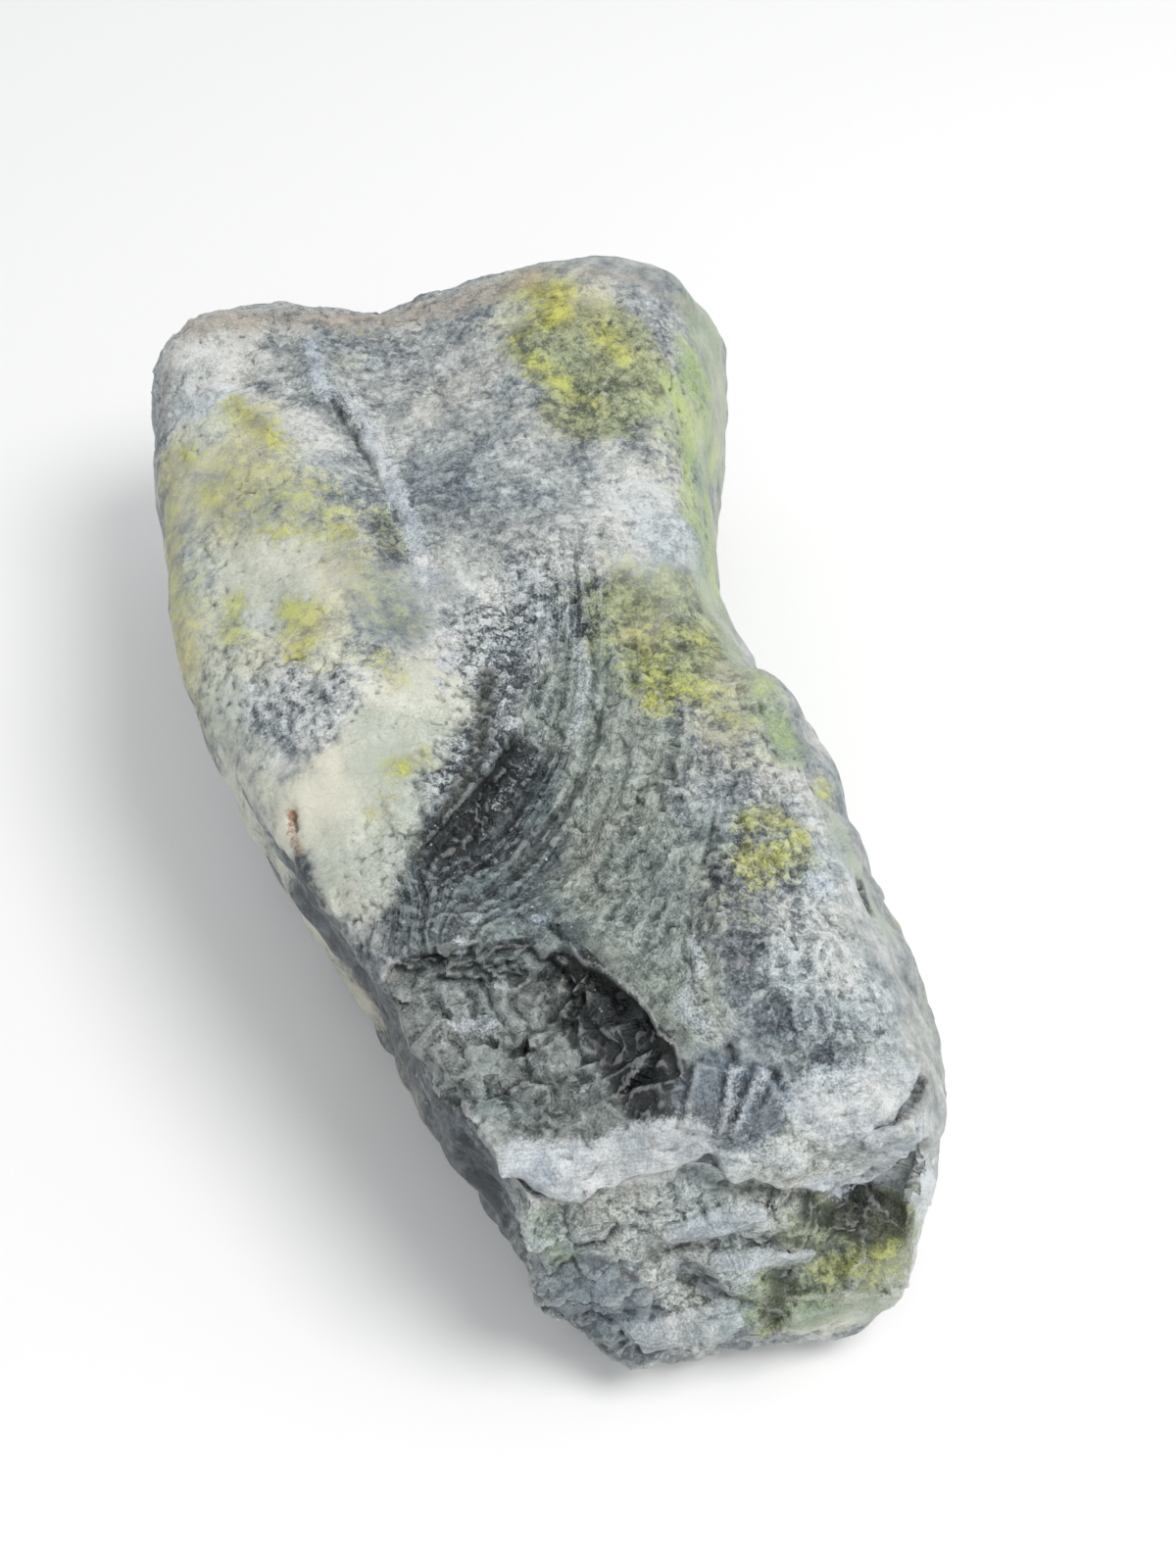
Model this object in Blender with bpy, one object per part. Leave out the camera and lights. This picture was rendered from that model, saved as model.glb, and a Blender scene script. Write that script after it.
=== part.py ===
"""A raw block of soapstone, as broken from the quarry face and tumbled smooth at its wide end.

One stone, one solid. It lies on its flattest side: +Z is up, +Y runs along it from the broken near end to the
rounded far end, and the origin is on the ground at the middle of its footprint. Lengths below are millimetres.
"""

import bmesh
import bpy
import numpy as np
from mathutils import Vector, noise

MM = 0.001

# Driving dimensions.
NEAR_Y, FAR_Y = -114.0, 92.0  # the loft runs between these, past the broken end and up to the rounded one
NOSE_LENGTH = 21.5  # how far the rounded end reaches past FAR_Y
NOSE_RINGS = 12
NOSE_SQUARENESS = 2.5  # how late the rounded end starts to close
NOSE_CLOSING = (0.33, 0.26)  # across and upwards: less closes later and more suddenly
NOSE_CENTRE = (0.0, 32.0)  # x and z that the rounded end closes on
NOSE_SKEW = -0.08  # how much less far the rounded end reaches for each millimetre along +X
RING_STEP = 4.0
RING_POINTS = 64

# Lines that run the length of the stone, anticlockwise from the left foot over the top: (y, x, z) of each point.
RAILS = {
    "foot_left": [(-114, -17, 0), (-75, -24, 0), (-35, -34, 0), (5, -45, 0), (50, -49, 0), (92, -42, 0)],
    "belly_left": [(-114, -25, 20), (-85, -28, 20), (-65, -34, 21), (-36, -43, 22), (-7, -52, 24), (25, -57, 25),
                   (60, -54, 26), (92, -50, 26)],
    "under_left": [(-114, -28, 47), (-85, -31, 48), (-60, -39, 49), (-36, -47, 49), (-10, -56, 46), (25, -61, 44),
                   (60, -61, 44), (92, -59, 47)],
    "shoulder_left": [(-114, -30, 58), (-85, -34, 59), (-65, -39, 60), (-40, -48, 61), (-22, -54, 61), (3, -59, 58),
                      (39, -61, 57), (70, -60, 58), (92, -58, 62)],
    "crown_left": [(-114, -20, 62), (-80, -25, 63), (-55, -30, 64), (-30, -35, 67), (0, -38, 70), (35, -39, 69),
                   (65, -39, 69), (92, -38, 69)],
    "valley": [(-114, -4, 62), (-75, -7, 65), (-45, -9, 63), (-20, -8, 63), (5, -7, 67), (22, -8, 70), (45, -10, 67),
               (92, -10, 66)],
    "crown_right": [(-114, 14, 62), (-80, 15, 68), (-50, 16, 70), (-20, 15, 68), (15, 14, 70), (45, 14, 69),
                    (75, 18, 71), (92, 20, 70)],
    "shoulder_right": [(-114, 28, 54), (-85, 34, 58), (-65, 38, 60), (-40, 37, 61), (-20, 35, 61), (3, 31, 62),
                       (20, 30, 65), (38, 30, 68), (62, 37, 69), (92, 46, 67)],
    "belly_right": [(-114, 35, 34), (-88, 43, 36), (-66, 48, 38), (-40, 47, 40), (-8, 44, 40), (8, 41, 40),
                    (22, 39, 40), (38, 42, 39), (55, 48, 41), (72, 55, 44), (92, 62, 46)],
    "foot_right": [(-114, 22, 0), (-85, 33, 0), (-55, 39, 0), (-15, 37, 0), (20, 32, 0), (55, 40, 0), (92, 48, 0)],
}

# Flat breaks that end the stone: a point on each, and the way it faces.
BREAKS = {
    "near_face": ((5, -106, 10), (-0.09, -1.0, 0.22)),
    "ledge": ((0, -96, 53.5), (-0.12, -0.57, 0.81)),
    "near_right_corner": ((41, -92, 30), (0.88, -0.48, 0.0)),
    "near_left_corner": ((-20, -96, 8), (-0.75, -0.55, -0.35)),
    "near_foot": ((0, -105, 6), (-0.06, -0.70, -0.70)),
    "near_right_foot": ((29.5, -104, 8), (0.45, -0.75, -0.45)),
}

# Chips missing from the top of the broken end: each is a floor of four corners, and the mouth that it opens to.
CHIPS = {
    "scoop": {
        "floor": [(-60, -55, 58), (-17, -60, 57), (-8, -91, 56), (-40, -98, 55)],
        "mouth": [(-62, -47, 74), (-7, -48, 74), (8, -86, 74), (-42, -104, 74)],
    },
    "step": {
        "floor": [(-8, -91, 56.5), (12, -95, 57.5), (16, -120, 45), (-14, -120, 45)],
        "mouth": [(-8, -82, 74), (14, -86, 74), (20, -120, 74), (-16, -120, 74)],
    },
    "terrace": {
        "floor": [(14, -92, 63), (42, -84, 55), (46, -112, 50), (14, -112, 57)],
        "mouth": [(13, -86, 74), (46, -76, 74), (50, -112, 74), (13, -112, 74)],
    },
}

# Steps in the top face: a line in plan from one end to the other, how far the face drops on the right of it, over
# what width, and how far off the drop has faded.
STEPS = {
    "cross_ridge": {"line": [(-34, 14), (-26, 17), (-10, 19), (5, 21), (18, 15), (28, 10), (36, 0)], "drop": 2.6,
                    "width": 8, "reach": 26},
    "fold": {"line": [(-34, -46), (-30, -38), (-24, -31), (-17, -24), (-8, -15), (-2, -5), (2, 6), (6, 20)],
             "drop": 3.4, "width": 8, "reach": 24},
    "vein": {"line": [(-27, 80), (-24, 72), (-22, 65), (-20, 51), (-18, 37), (-15, 22), (-12, 10)], "drop": 1.8,
             "width": 3.5, "reach": 10},
    "back_ridge": {"line": [(-44, 92), (-30, 86), (-24, 74)], "drop": 2.0, "width": 6, "reach": 14},
    "right_fold": {"line": [(12, -30), (14, -50), (8, -64), (2, -76), (4, -90)], "drop": 1.2, "width": 8,
                   "reach": 14},
}

# Hollows: a centre on the skin, a radius and a depth.
PITS = {
    "near_hollow": ((27, -102, 36), 11, 6.0),
    "under_ledge": ((-8, -101, 44), 14, 2.0),
    "near_low_right": ((12, -108, 5), 7, 3.0),
    "left_wall": ((-42, -40, 30), 15, 2.5),
    "far_saddle": ((-12, 108, 64), 15, 3.0),
    "right_shoulder": ((38, -58, 58), 5, 2.0),
    "far_right_wall": ((58, 60, 20), 14, 2.0),
    "back": ((12, 114, 30), 22, 3.0),
}

# Long crystals that stand out of the broken face: both ends, half a width and a height.
BLADES = [
    ((-8, -100, 39), (8, -101, 43), 2.6, 2.0),
    ((0, -104, 29), (24, -106, 32), 2.4, 2.0),
    ((-14, -106, 12), (8, -108, 20), 3.2, 2.2),
    ((8, -108, 17), (27, -107, 19), 3.2, 1.8),
    ((-26, -97, 30), (-10, -102, 28), 3.4, 1.8),
]

BEDDING_MM = 8.5  # the thickness of the layers that show as ledges where the stone is broken across them
BEDDING_LEAN = (0.10, 0.16)  # how far the layers rise for each millimetre along +X and +Y
LEDGE_HEIGHT = 0.9
LUMP_MM, LUMP_HEIGHT = 34.0, 1.8
KNOB_MM, KNOB_HEIGHT = 13.0, 0.5
CHIP_MM, CHIP_DEPTH = 11.0, 1.3
SMOOTH_SHARE = 0.25  # how much of the chipping is left on the tumbled end
ROUGH_FROM_Y, ROUGH_OVER = 55.0, 90.0  # the skin roughens towards -Y from here, over this length
WAVER_MM, WAVER_HEIGHT = 16.0, 4.0  # how the steps in the top face wander off their lines
STEP_TAPER = 0.2  # the share of a step's length that it takes to start and to end
FLAT_TO_Z = 7.0  # the relief dies away below this height, to leave the underside flat
OTHER_NOISE = (71.0, 37.0, 53.0)  # a second place to read the noise, which makes it unlike the first

GRAIN_MM = 1.6  # the spacing of the even skin that welds the loft, its breaks and its chips into one
MOST_TRIANGLES = 9000
UNDERSIDE_MM = 0.5  # what is left this near the ground lies on it


def spline(knots, points, at):
    """A smooth curve through points at knots, read at the places in at: cubic pieces with three-point slopes."""
    knots, points = np.asarray(knots, float), np.asarray(points, float)
    rise = np.diff(points, axis=0) / np.diff(knots)[:, None]
    gap = np.diff(knots)[:, None]
    middle = (rise[:-1] * gap[1:] + rise[1:] * gap[:-1]) / (gap[1:] + gap[:-1])
    slope = np.vstack([rise[:1], middle, rise[-1:]])
    i = np.clip(np.searchsorted(knots, at, side="right") - 1, 0, len(knots) - 2)
    t = ((at - knots[i]) / (knots[i + 1] - knots[i]))[:, None]
    h = gap[i]
    return (
        points[i] * (1 + 2 * t) * (1 - t) ** 2
        + points[i + 1] * t**2 * (3 - 2 * t)
        + slope[i] * h * t * (1 - t) ** 2
        - slope[i + 1] * h * t**2 * (1 - t)
    )


def section(y):
    """The stone's outline at y, as (x, z) points from one foot over the top to the other."""
    corners = np.array(
        [spline([p[0] for p in rail], [p[1:] for p in rail], np.array([y]))[0] for rail in RAILS.values()]
    )
    inward = np.array([12.0, 0.0])  # makes the outline turn under at each foot
    corners = np.vstack([corners[0] + inward, corners, corners[-1] - inward])
    run = np.concatenate([[0], np.cumsum(np.linalg.norm(np.diff(corners, axis=0), axis=1))])
    return spline(run, corners, np.linspace(run[1], run[-2], RING_POINTS))


def rings():
    """The sections along the stone, then those that close its rounded end."""
    for y in np.arange(NEAR_Y, FAR_Y, RING_STEP):
        yield [(x, y, z) for x, z in section(y)]
    last, centre = section(FAR_Y), np.array(NOSE_CENTRE)
    for share in np.linspace(0, 1, NOSE_RINGS + 1)[:-1]:
        size = (1 - share**NOSE_SQUARENESS) ** np.array(NOSE_CLOSING)
        y = FAR_Y + NOSE_LENGTH * share
        yield [(x, y + NOSE_SKEW * share * x, max(z, 0)) for x, z in centre + (last - centre) * size]


def loft():
    """The whole stone before its breaks, as a closed mesh."""
    bm = bmesh.new()
    made = [[bm.verts.new(Vector(p) * MM) for p in ring] for ring in rings()]
    for near, far in zip(made, made[1:]):
        for i in range(RING_POINTS):
            j = (i + 1) % RING_POINTS
            bm.faces.new((near[i], near[j], far[j], far[i]))
    bm.faces.new(made[0][::-1])
    bm.faces.new(made[-1])
    bmesh.ops.recalc_face_normals(bm, faces=bm.faces)
    return bm


def break_off(bm, point, facing):
    """Takes off what lies past a flat break, and closes the stone there."""
    geometry = bm.verts[:] + bm.edges[:] + bm.faces[:]
    cut = bmesh.ops.bisect_plane(
        bm, geom=geometry, plane_co=Vector(point) * MM, plane_no=Vector(facing), clear_outer=True
    )
    edges = [e for e in cut["geom_cut"] if isinstance(e, bmesh.types.BMEdge)]
    bmesh.ops.edgeloop_fill(bm, edges=edges)


def ramp(values):
    """0 below 0, 1 above 1, and smooth between."""
    t = np.clip(values, 0, 1)
    return t * t * (3 - 2 * t)


def off_line(places, line):
    """For each place in plan: how far off a line of points it is, right-hand side positive, and how far along."""
    nearest = np.full(len(places), np.inf)
    signed, along, passed = np.zeros(len(places)), np.zeros(len(places)), 0.0
    for a, b in zip(np.array(line[:-1], float), np.array(line[1:], float)):
        run = b - a
        length = np.linalg.norm(run)
        share = np.clip((places - a) @ run / length**2, 0, 1)
        away = places - a - share[:, None] * run
        distance = np.linalg.norm(away, axis=1)
        closer = distance < nearest
        nearest[closer] = distance[closer]
        signed[closer] = (np.sign(away[:, 0] * run[1] - away[:, 1] * run[0]) * distance)[closer]
        along[closer] = (passed + share * length)[closer]
        passed += length
    return signed, along / passed


def fractal(places, size, octaves=3):
    """Smooth noise of about -1 to 1 at each place, with lumps of the given size."""
    return np.array([noise.fractal(Vector(p) / size, 1.0, 2.0, octaves) for p in places])


def facets(places, size):
    """0 at the middle of each chip of that size, rising to about 1 where it meets the next."""
    near = np.array([noise.voronoi(Vector(p) / size)[0][:2] for p in places])
    return 1 - np.clip((near[:, 1] - near[:, 0]) * 1.6, 0, 1)


def relief(places, normals):
    """How far each place on the skin moves out along its normal."""
    x, y, z = places.T
    rough = ramp((ROUGH_FROM_Y - y) / ROUGH_OVER)
    up = ramp((normals[:, 2] - 0.2) / 0.5)
    lumps = fractal(places, LUMP_MM)
    patchy = ramp(0.5 + fractal(places + OTHER_NOISE, 2 * CHIP_MM))
    out = LUMP_HEIGHT * lumps + KNOB_HEIGHT * fractal(places, KNOB_MM)
    out -= CHIP_DEPTH * (SMOOTH_SHARE + (1 - SMOOTH_SHARE) * rough) * facets(places, CHIP_MM)
    layer = (z - BEDDING_LEAN[0] * x - BEDDING_LEAN[1] * y) / BEDDING_MM + 0.7 * lumps
    out += (1 - up) * rough * LEDGE_HEIGHT * patchy * (1 - 2 * ramp((layer % 1) * 1.6 - 0.3))
    waver = np.stack([fractal(places - OTHER_NOISE, WAVER_MM), fractal(places + OTHER_NOISE, WAVER_MM)], axis=1)
    for step in STEPS.values():
        signed, along = off_line(places[:, :2] + WAVER_HEIGHT * waver, step["line"])
        fading = np.exp(-((signed / step["reach"]) ** 2)) * ramp(np.minimum(along, 1 - along) / STEP_TAPER)
        out -= up * step["drop"] * ramp(signed / step["width"] + 0.5) * fading
    for centre, radius, depth in PITS.values():
        out -= depth * np.exp(-((np.linalg.norm(places - centre, axis=1) / radius) ** 2))
    for start, end, half_width, height in BLADES:
        run = np.subtract(end, start)
        share = np.clip((places - start) @ run / (run @ run), 0, 1)
        away = np.linalg.norm(places - start - share[:, None] * run, axis=1)
        out += height * (1 - ramp(away / half_width - 0.7))
    return out * ramp(z / FLAT_TO_Z)


def carve(mesh):
    """Gives the skin its relief."""
    count = len(mesh.vertices)
    places, normals = np.empty(count * 3), np.empty(count * 3)
    mesh.vertices.foreach_get("co", places)
    mesh.vertices.foreach_get("normal", normals)
    places, normals = places.reshape(-1, 3) / MM, normals.reshape(-1, 3)
    places += normals * relief(places, normals)[:, None]
    mesh.vertices.foreach_set("co", (places * MM).ravel())


def settle(mesh):
    """Lays the underside on the ground as one flat face, and centres the footprint on the origin."""
    places = np.empty(len(mesh.vertices) * 3)
    mesh.vertices.foreach_get("co", places)
    places = places.reshape(-1, 3)
    places[places[:, 2] < UNDERSIDE_MM * MM, 2] = 0
    places[:, :2] -= (places[:, :2].min(axis=0) + places[:, :2].max(axis=0)) / 2
    mesh.vertices.foreach_set("co", places.ravel())


def new_object(name, bm):
    mesh = bpy.data.meshes.new(name)
    bm.to_mesh(mesh)
    bm.free()
    made = bpy.data.objects.new(name, mesh)
    bpy.context.scene.collection.objects.link(made)
    return made


def chip_cutter(name, floor, mouth):
    """The space that a chip leaves, as a solid to take away."""
    bm = bmesh.new()
    for p in floor + mouth:
        bm.verts.new(Vector(p) * MM)
    bmesh.ops.convex_hull(bm, input=bm.verts[:])
    cutter = new_object("chip_" + name, bm)
    cutter.hide_render = True
    cutter.display_type = "WIRE"
    return cutter


def apply_modifiers(obj):
    """Keeps what the modifiers make as the object's own mesh."""
    graph = bpy.context.evaluated_depsgraph_get()
    obj.data = bpy.data.meshes.new_from_object(obj.evaluated_get(graph), depsgraph=graph)
    obj.modifiers.clear()


def soapstone():
    material = bpy.data.materials.new("soapstone")
    material.use_nodes = True
    surface = material.node_tree.nodes["Principled BSDF"]
    surface.inputs["Base Color"].default_value = (0.34, 0.37, 0.34, 1)
    surface.inputs["Roughness"].default_value = 0.72
    surface.inputs["Metallic"].default_value = 0.0
    return material


def main():
    for obj in list(bpy.data.objects):
        bpy.data.objects.remove(obj)
    bm = loft()
    for point, facing in BREAKS.values():
        break_off(bm, point, facing)
    stone = new_object("soapstone_block", bm)
    for name, corners in CHIPS.items():
        cut = stone.modifiers.new(name, "BOOLEAN")
        cut.object = chip_cutter(name, **corners)
        cut.operation = "DIFFERENCE"
    skin = stone.modifiers.new("skin", "REMESH")
    skin.mode = "VOXEL"
    skin.voxel_size = GRAIN_MM * MM
    apply_modifiers(stone)
    carve(stone.data)
    thin = stone.modifiers.new("thin", "DECIMATE")
    thin.ratio = MOST_TRIANGLES / (2 * len(stone.data.polygons))
    apply_modifiers(stone)
    settle(stone.data)
    stone.data.materials.append(soapstone())


main()
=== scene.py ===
"""The look of a raw block of soapstone: its broken and tumbled skin, its minerals, the light and the camera.

Lengths are millimetres and places are millimetres in the frame of the CAD model, unless a name says otherwise.
What was seen in the photograph is placed by its pixels in the 1200 x 1600 frame, and is cast from the camera
onto the stone, so that it sits on the skin from every side.
"""

import math

import bmesh
import bpy
import numpy as np
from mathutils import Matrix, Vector, noise
from mathutils.bvhtree import BVHTree


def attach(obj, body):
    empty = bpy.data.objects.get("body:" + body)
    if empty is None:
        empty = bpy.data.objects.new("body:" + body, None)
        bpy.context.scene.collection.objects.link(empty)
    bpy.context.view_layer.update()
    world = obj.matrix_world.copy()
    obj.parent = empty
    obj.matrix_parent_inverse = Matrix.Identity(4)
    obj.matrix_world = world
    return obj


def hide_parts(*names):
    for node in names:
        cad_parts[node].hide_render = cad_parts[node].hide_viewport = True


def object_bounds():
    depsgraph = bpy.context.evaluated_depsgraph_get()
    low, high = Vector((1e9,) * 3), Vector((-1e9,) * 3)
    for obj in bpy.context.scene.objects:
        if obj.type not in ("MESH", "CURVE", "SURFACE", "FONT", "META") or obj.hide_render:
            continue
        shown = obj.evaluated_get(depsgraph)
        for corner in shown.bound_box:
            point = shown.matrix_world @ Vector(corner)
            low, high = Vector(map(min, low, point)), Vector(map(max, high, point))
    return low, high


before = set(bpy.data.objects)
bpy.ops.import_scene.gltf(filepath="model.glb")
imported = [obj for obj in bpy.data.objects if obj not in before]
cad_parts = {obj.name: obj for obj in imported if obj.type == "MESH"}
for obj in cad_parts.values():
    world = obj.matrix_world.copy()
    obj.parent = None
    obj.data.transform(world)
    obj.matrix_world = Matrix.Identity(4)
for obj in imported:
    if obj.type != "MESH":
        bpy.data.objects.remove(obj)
CAD_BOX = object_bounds()

MM = 0.001

# The camera, where the photograph was taken from.
PHOTO_WIDTH, PHOTO_HEIGHT = 1200, 1600
CAMERA_AZIMUTH, CAMERA_ELEVATION = math.radians(-15), math.radians(52)
CAMERA_DISTANCE, LENS, SENSOR = 400.0, 50.0, 36.0
CAMERA_TARGET = Vector((5.0, -7.9, 35.0))

VOXEL = 0.65  # the spacing of the fine skin before it is thinned
SMOOTHING_ROUNDS = 20
MOST_TRIANGLES = 196000
SHARPEST = math.radians(50)  # edges that turn by more than this show as edges
FLAT_TO_Z = 6.0  # the relief dies away below this height, to leave the underside flat

# Lines that the grain of the stone follows over its top, in pixels, with how far across the grain each one is.
GRAIN_LINES = {
    "left_edge": (-34, [(215, 560), (240, 700), (300, 810), (390, 930)]),
    "crest": (-10, [(470, 440), (505, 630), (482, 720), (440, 790), (395, 850)]),
    "fold": (0, [(560, 450), (575, 600), (570, 650), (558, 700), (535, 760), (500, 810), (455, 855), (415, 890)]),
    "under_fold": (10, [(625, 470), (632, 620), (630, 700), (605, 780), (560, 850), (500, 905), (440, 950)]),
    "sage": (22, [(700, 640), (700, 740), (680, 820), (640, 890), (585, 950)]),
    "flank": (37, [(765, 700), (778, 800), (775, 900), (765, 1000), (770, 1060)]),
    "right_edge": (50, [(830, 770), (870, 880), (905, 1000), (938, 1090)]),
}
BEDDING_LEAN = np.array([-0.08, -0.10, 1.0])  # across the layers that show on the walls
GRAIN_SLANT = np.array([0.8, 0.5, 0.33])  # the way in which noise is read across the grain

# Where the stone's outline in the photograph stands out past the smoothed solid, or within it: how far the skin
# moves, over what radius, then a line in pixels.
SWELLS = {
    "right_waist": (3.0, 15, [(785, 712), (803, 742), (820, 775)]),
    "right_far": (1.0, 12, [(698, 316), (722, 345)]),
    "right_hollow": (-1.6, 16, [(734, 490), (735, 520)]),
    "right_hollow_near": (-2.2, 15, [(743, 622), (750, 642)]),
    "right_low": (-1.8, 13, [(900, 893), (905, 908)]),
    "right_near": (1.0, 10, [(952, 1085), (955, 1105)]),
    "left_far": (-1.2, 18, [(157, 375), (156, 405)]),
    "left_mid": (-1.8, 18, [(160, 480), (161, 515)]),
    "left_low": (1.5, 14, [(184, 610), (190, 640)]),
    "left_lower": (1.0, 12, [(210, 725), (225, 765)]),
    "left_corner": (3.6, 12, [(205, 345), (190, 360)]),
    "wall_foot": (3.0, 14, [(428, 1090), (450, 1130), (472, 1170)]),
    "lobe": (2.2, 12, [(805, 1352), (845, 1348), (872, 1335)]),
    "foot_left": (-1.2, 8, [(588, 1330), (604, 1346)]),
    "foot": (1.6, 7, [(645, 1366), (700, 1368)]),
}

# Cracks: half a width and a depth, then the line in pixels.
CRACKS = {
    "scoop_main": (0.7, 1.8, [(543, 971), (555, 989), (569, 1004), (585, 1020)]),
    "scoop_main_low": (0.6, 1.4, [(555, 1024), (571, 1042), (580, 1055), (586, 1065)]),
    "scoop_corner": (0.6, 1.4, [(554, 932), (563, 943), (574, 957)]),
    "plate_left": (0.6, 1.2, [(491, 1002), (500, 1022), (508, 1038), (524, 1053), (526, 1072)]),
    "plate_mid": (0.5, 1.0, [(521, 1016), (530, 1030), (539, 1037)]),
    "plate_cross": (0.5, 0.8, [(526, 1019), (537, 1015), (548, 1014)]),
    "plate_right": (0.6, 1.2, [(599, 1048), (612, 1062), (619, 1068), (615, 1078)]),
    "layer_1": (0.5, 0.9, [(423, 975), (450, 979), (475, 982), (500, 968), (514, 961), (541, 962)]),
    "layer_2": (0.45, 0.7, [(424, 985), (450, 988), (478, 989), (510, 975), (541, 966)]),
    "layer_3": (0.5, 0.9, [(427, 996), (450, 999), (478, 999), (500, 990), (540, 973)]),
    "layer_4": (0.5, 0.7, [(430, 1014), (455, 1008), (490, 1002)]),
    "layer_5": (0.5, 0.6, [(436, 1031), (460, 1026), (486, 1017)]),
    "groove": (0.7, 0.8, [(338, 408), (345, 418), (358, 440), (372, 465), (385, 490), (400, 520), (413, 548)]),
    "step_left": (0.7, 1.2, [(741, 1070), (746, 1079), (751, 1088)]),
    "step_right": (0.7, 1.4, [(788, 1092), (794, 1104), (799, 1115)]),
    "cleft": (1.1, 2.4, [(899, 1153), (918, 1142), (933, 1127), (943, 1104)]),
    "side_hole": (1.0, 2.2, [(877, 902), (881, 915), (887, 930)]),
    "side_hole_tail": (0.5, 0.8, [(887, 930), (893, 942), (898, 950)]),
    "left_nick": (0.9, 1.2, [(297, 828), (300, 845)]),
    "ledge_foot_left": (0.8, 1.3, [(530, 1206), (558, 1226), (597, 1236), (612, 1222)]),
    "dark_mark": (0.7, 0.7, [(205, 556), (213, 566)]),
}

# Steps in the skin: the drop on the right of the line as it is drawn, how far that takes to fade, then the line.
STEPS = {
    "fold": (1.1, 7.0, [(425, 868), (455, 838), (490, 803), (520, 765), (543, 725), (552, 685), (548, 640)]),
    "fold_low": (0.9, 4.0, [(470, 880), (510, 840), (545, 795), (566, 740), (574, 690), (575, 640)]),
    "fold_light": (0.8, 4.0, [(520, 890), (560, 840), (590, 780), (602, 720), (600, 650)]),
    "scoop_wall": (3.8, 9.0, [(577, 968), (594, 985), (606, 990), (624, 1001), (645, 1018), (659, 1038), (668, 1060),
                              (685, 1068), (690, 1090)]),
    "plate_1": (1.2, 6.0, [(514, 1050), (541, 1040), (557, 1030), (571, 1042), (559, 1059), (547, 1069),
                           (524, 1074)]),
    "plate_2": (1.0, 5.0, [(535, 1079), (547, 1089), (563, 1087), (573, 1091), (577, 1081), (590, 1073),
                           (604, 1077), (614, 1085)]),
    "plate_3": (1.0, 5.0, [(567, 1118), (584, 1116), (604, 1106), (611, 1087)]),
    "plate_4": (0.8, 4.0, [(569, 1144), (584, 1148), (594, 1143), (600, 1142)]),
    "ledge_lip_left": (2.0, 9.0, [(528, 1200), (545, 1218), (575, 1232), (597, 1235), (612, 1216), (640, 1205),
                                  (687, 1196), (720, 1180)]),
    "ledge_lip_right": (1.8, 9.0, [(770, 1205), (800, 1215), (836, 1217), (886, 1213), (912, 1194), (930, 1178),
                                   (946, 1162)]),
}

# Slabs of long crystals that stand out of the near face: half a width and a height, then the line.
SLABS = {
    "upper": (2.5, 0.6, [(688, 1266), (735, 1255), (778, 1245)]),
    "middle": (1.5, 0.7, [(731, 1288), (775, 1284), (826, 1284)]),
    "low": (2.6, 0.6, [(655, 1368), (704, 1356), (750, 1340)]),
}

# Planks that stand out of the skin but have no colour of their own, given in the same way.
PLANKS = {
    "blade_1": (3.0, 1.2, [(716, 1148), (729, 1093)]),
    "blade_2": (1.1, 0.9, [(738, 1153), (751, 1093)]),
        "blade_4": (1.4, 1.0, [(754, 1158), (779, 1097)]),
    "blade_5": (1.8, 0.6, [(778, 1154), (796, 1122)]),
    "low_green": (2.2, 0.7, [(722, 1364), (770, 1345)]),
    "right": (2.4, 0.7, [(812, 1337), (858, 1333), (895, 1336)]),
}

# Layers that step down away from a line, on its right: their spacing and depth, how far they reach, then the line.
TERRACES = {
    "scoop_top": (2.4, 0.7, 12, [(560, 940), (500, 955), (425, 965)]),
    "near_face": (4.0, 0.7, 30, [(905, 1215), (836, 1226), (770, 1215), (720, 1190), (640, 1212), (597, 1242),
                                 (545, 1222)]),
}

# Where the skin is broken into flat facets: a radius, a strength and a line for each.
BROKEN = {
    "scoop_floor": (12, 1.0, [(450, 1030), (520, 1080), (570, 1080), (620, 1105)]),
    "scoop_foot": (6, 0.3, [(560, 1075), (620, 1110)]),
    "scoop_wall": (5, 0.1, [(600, 1000), (640, 1040), (670, 1090), (675, 1130)]),
        "near_face": (14, 0.5, [(600, 1260), (700, 1270), (800, 1260), (890, 1250)]),
    "near_foot": (14, 0.5, [(610, 1340), (700, 1330), (800, 1320), (880, 1310)]),
    "ledge": (7, 0.25, [(545, 1190), (620, 1190), (700, 1170), (780, 1180), (860, 1180)]),
    "slab_edge": (4, 0.6, [(350, 930), (400, 990), (440, 1060), (480, 1130), (520, 1190)]),
    "sage": (9, 0.35, [(660, 830), (640, 950)]),
    "flank": (12, 0.35, [(780, 850), (800, 980)]),
}

# Where the skin is calmer than around it: a radius, how much of the relief is lost and a line for each.
CALM = {
    "scoop_wall": (8, 0.9, [(590, 985), (640, 1030), (668, 1080), (682, 1125)]),
    "blades": (7, 0.9, [(716, 1120), (760, 1120), (795, 1115)]),
    "white_slab": (9, 0.85, [(820, 1130), (880, 1120), (925, 1110)]),
    "ledge": (7, 0.7, [(540, 1190), (600, 1195), (690, 1170), (780, 1185), (870, 1185)]),
    "right_rim": (7, 0.8, [(945, 1190), (930, 1230), (925, 1270)]),
}

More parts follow.
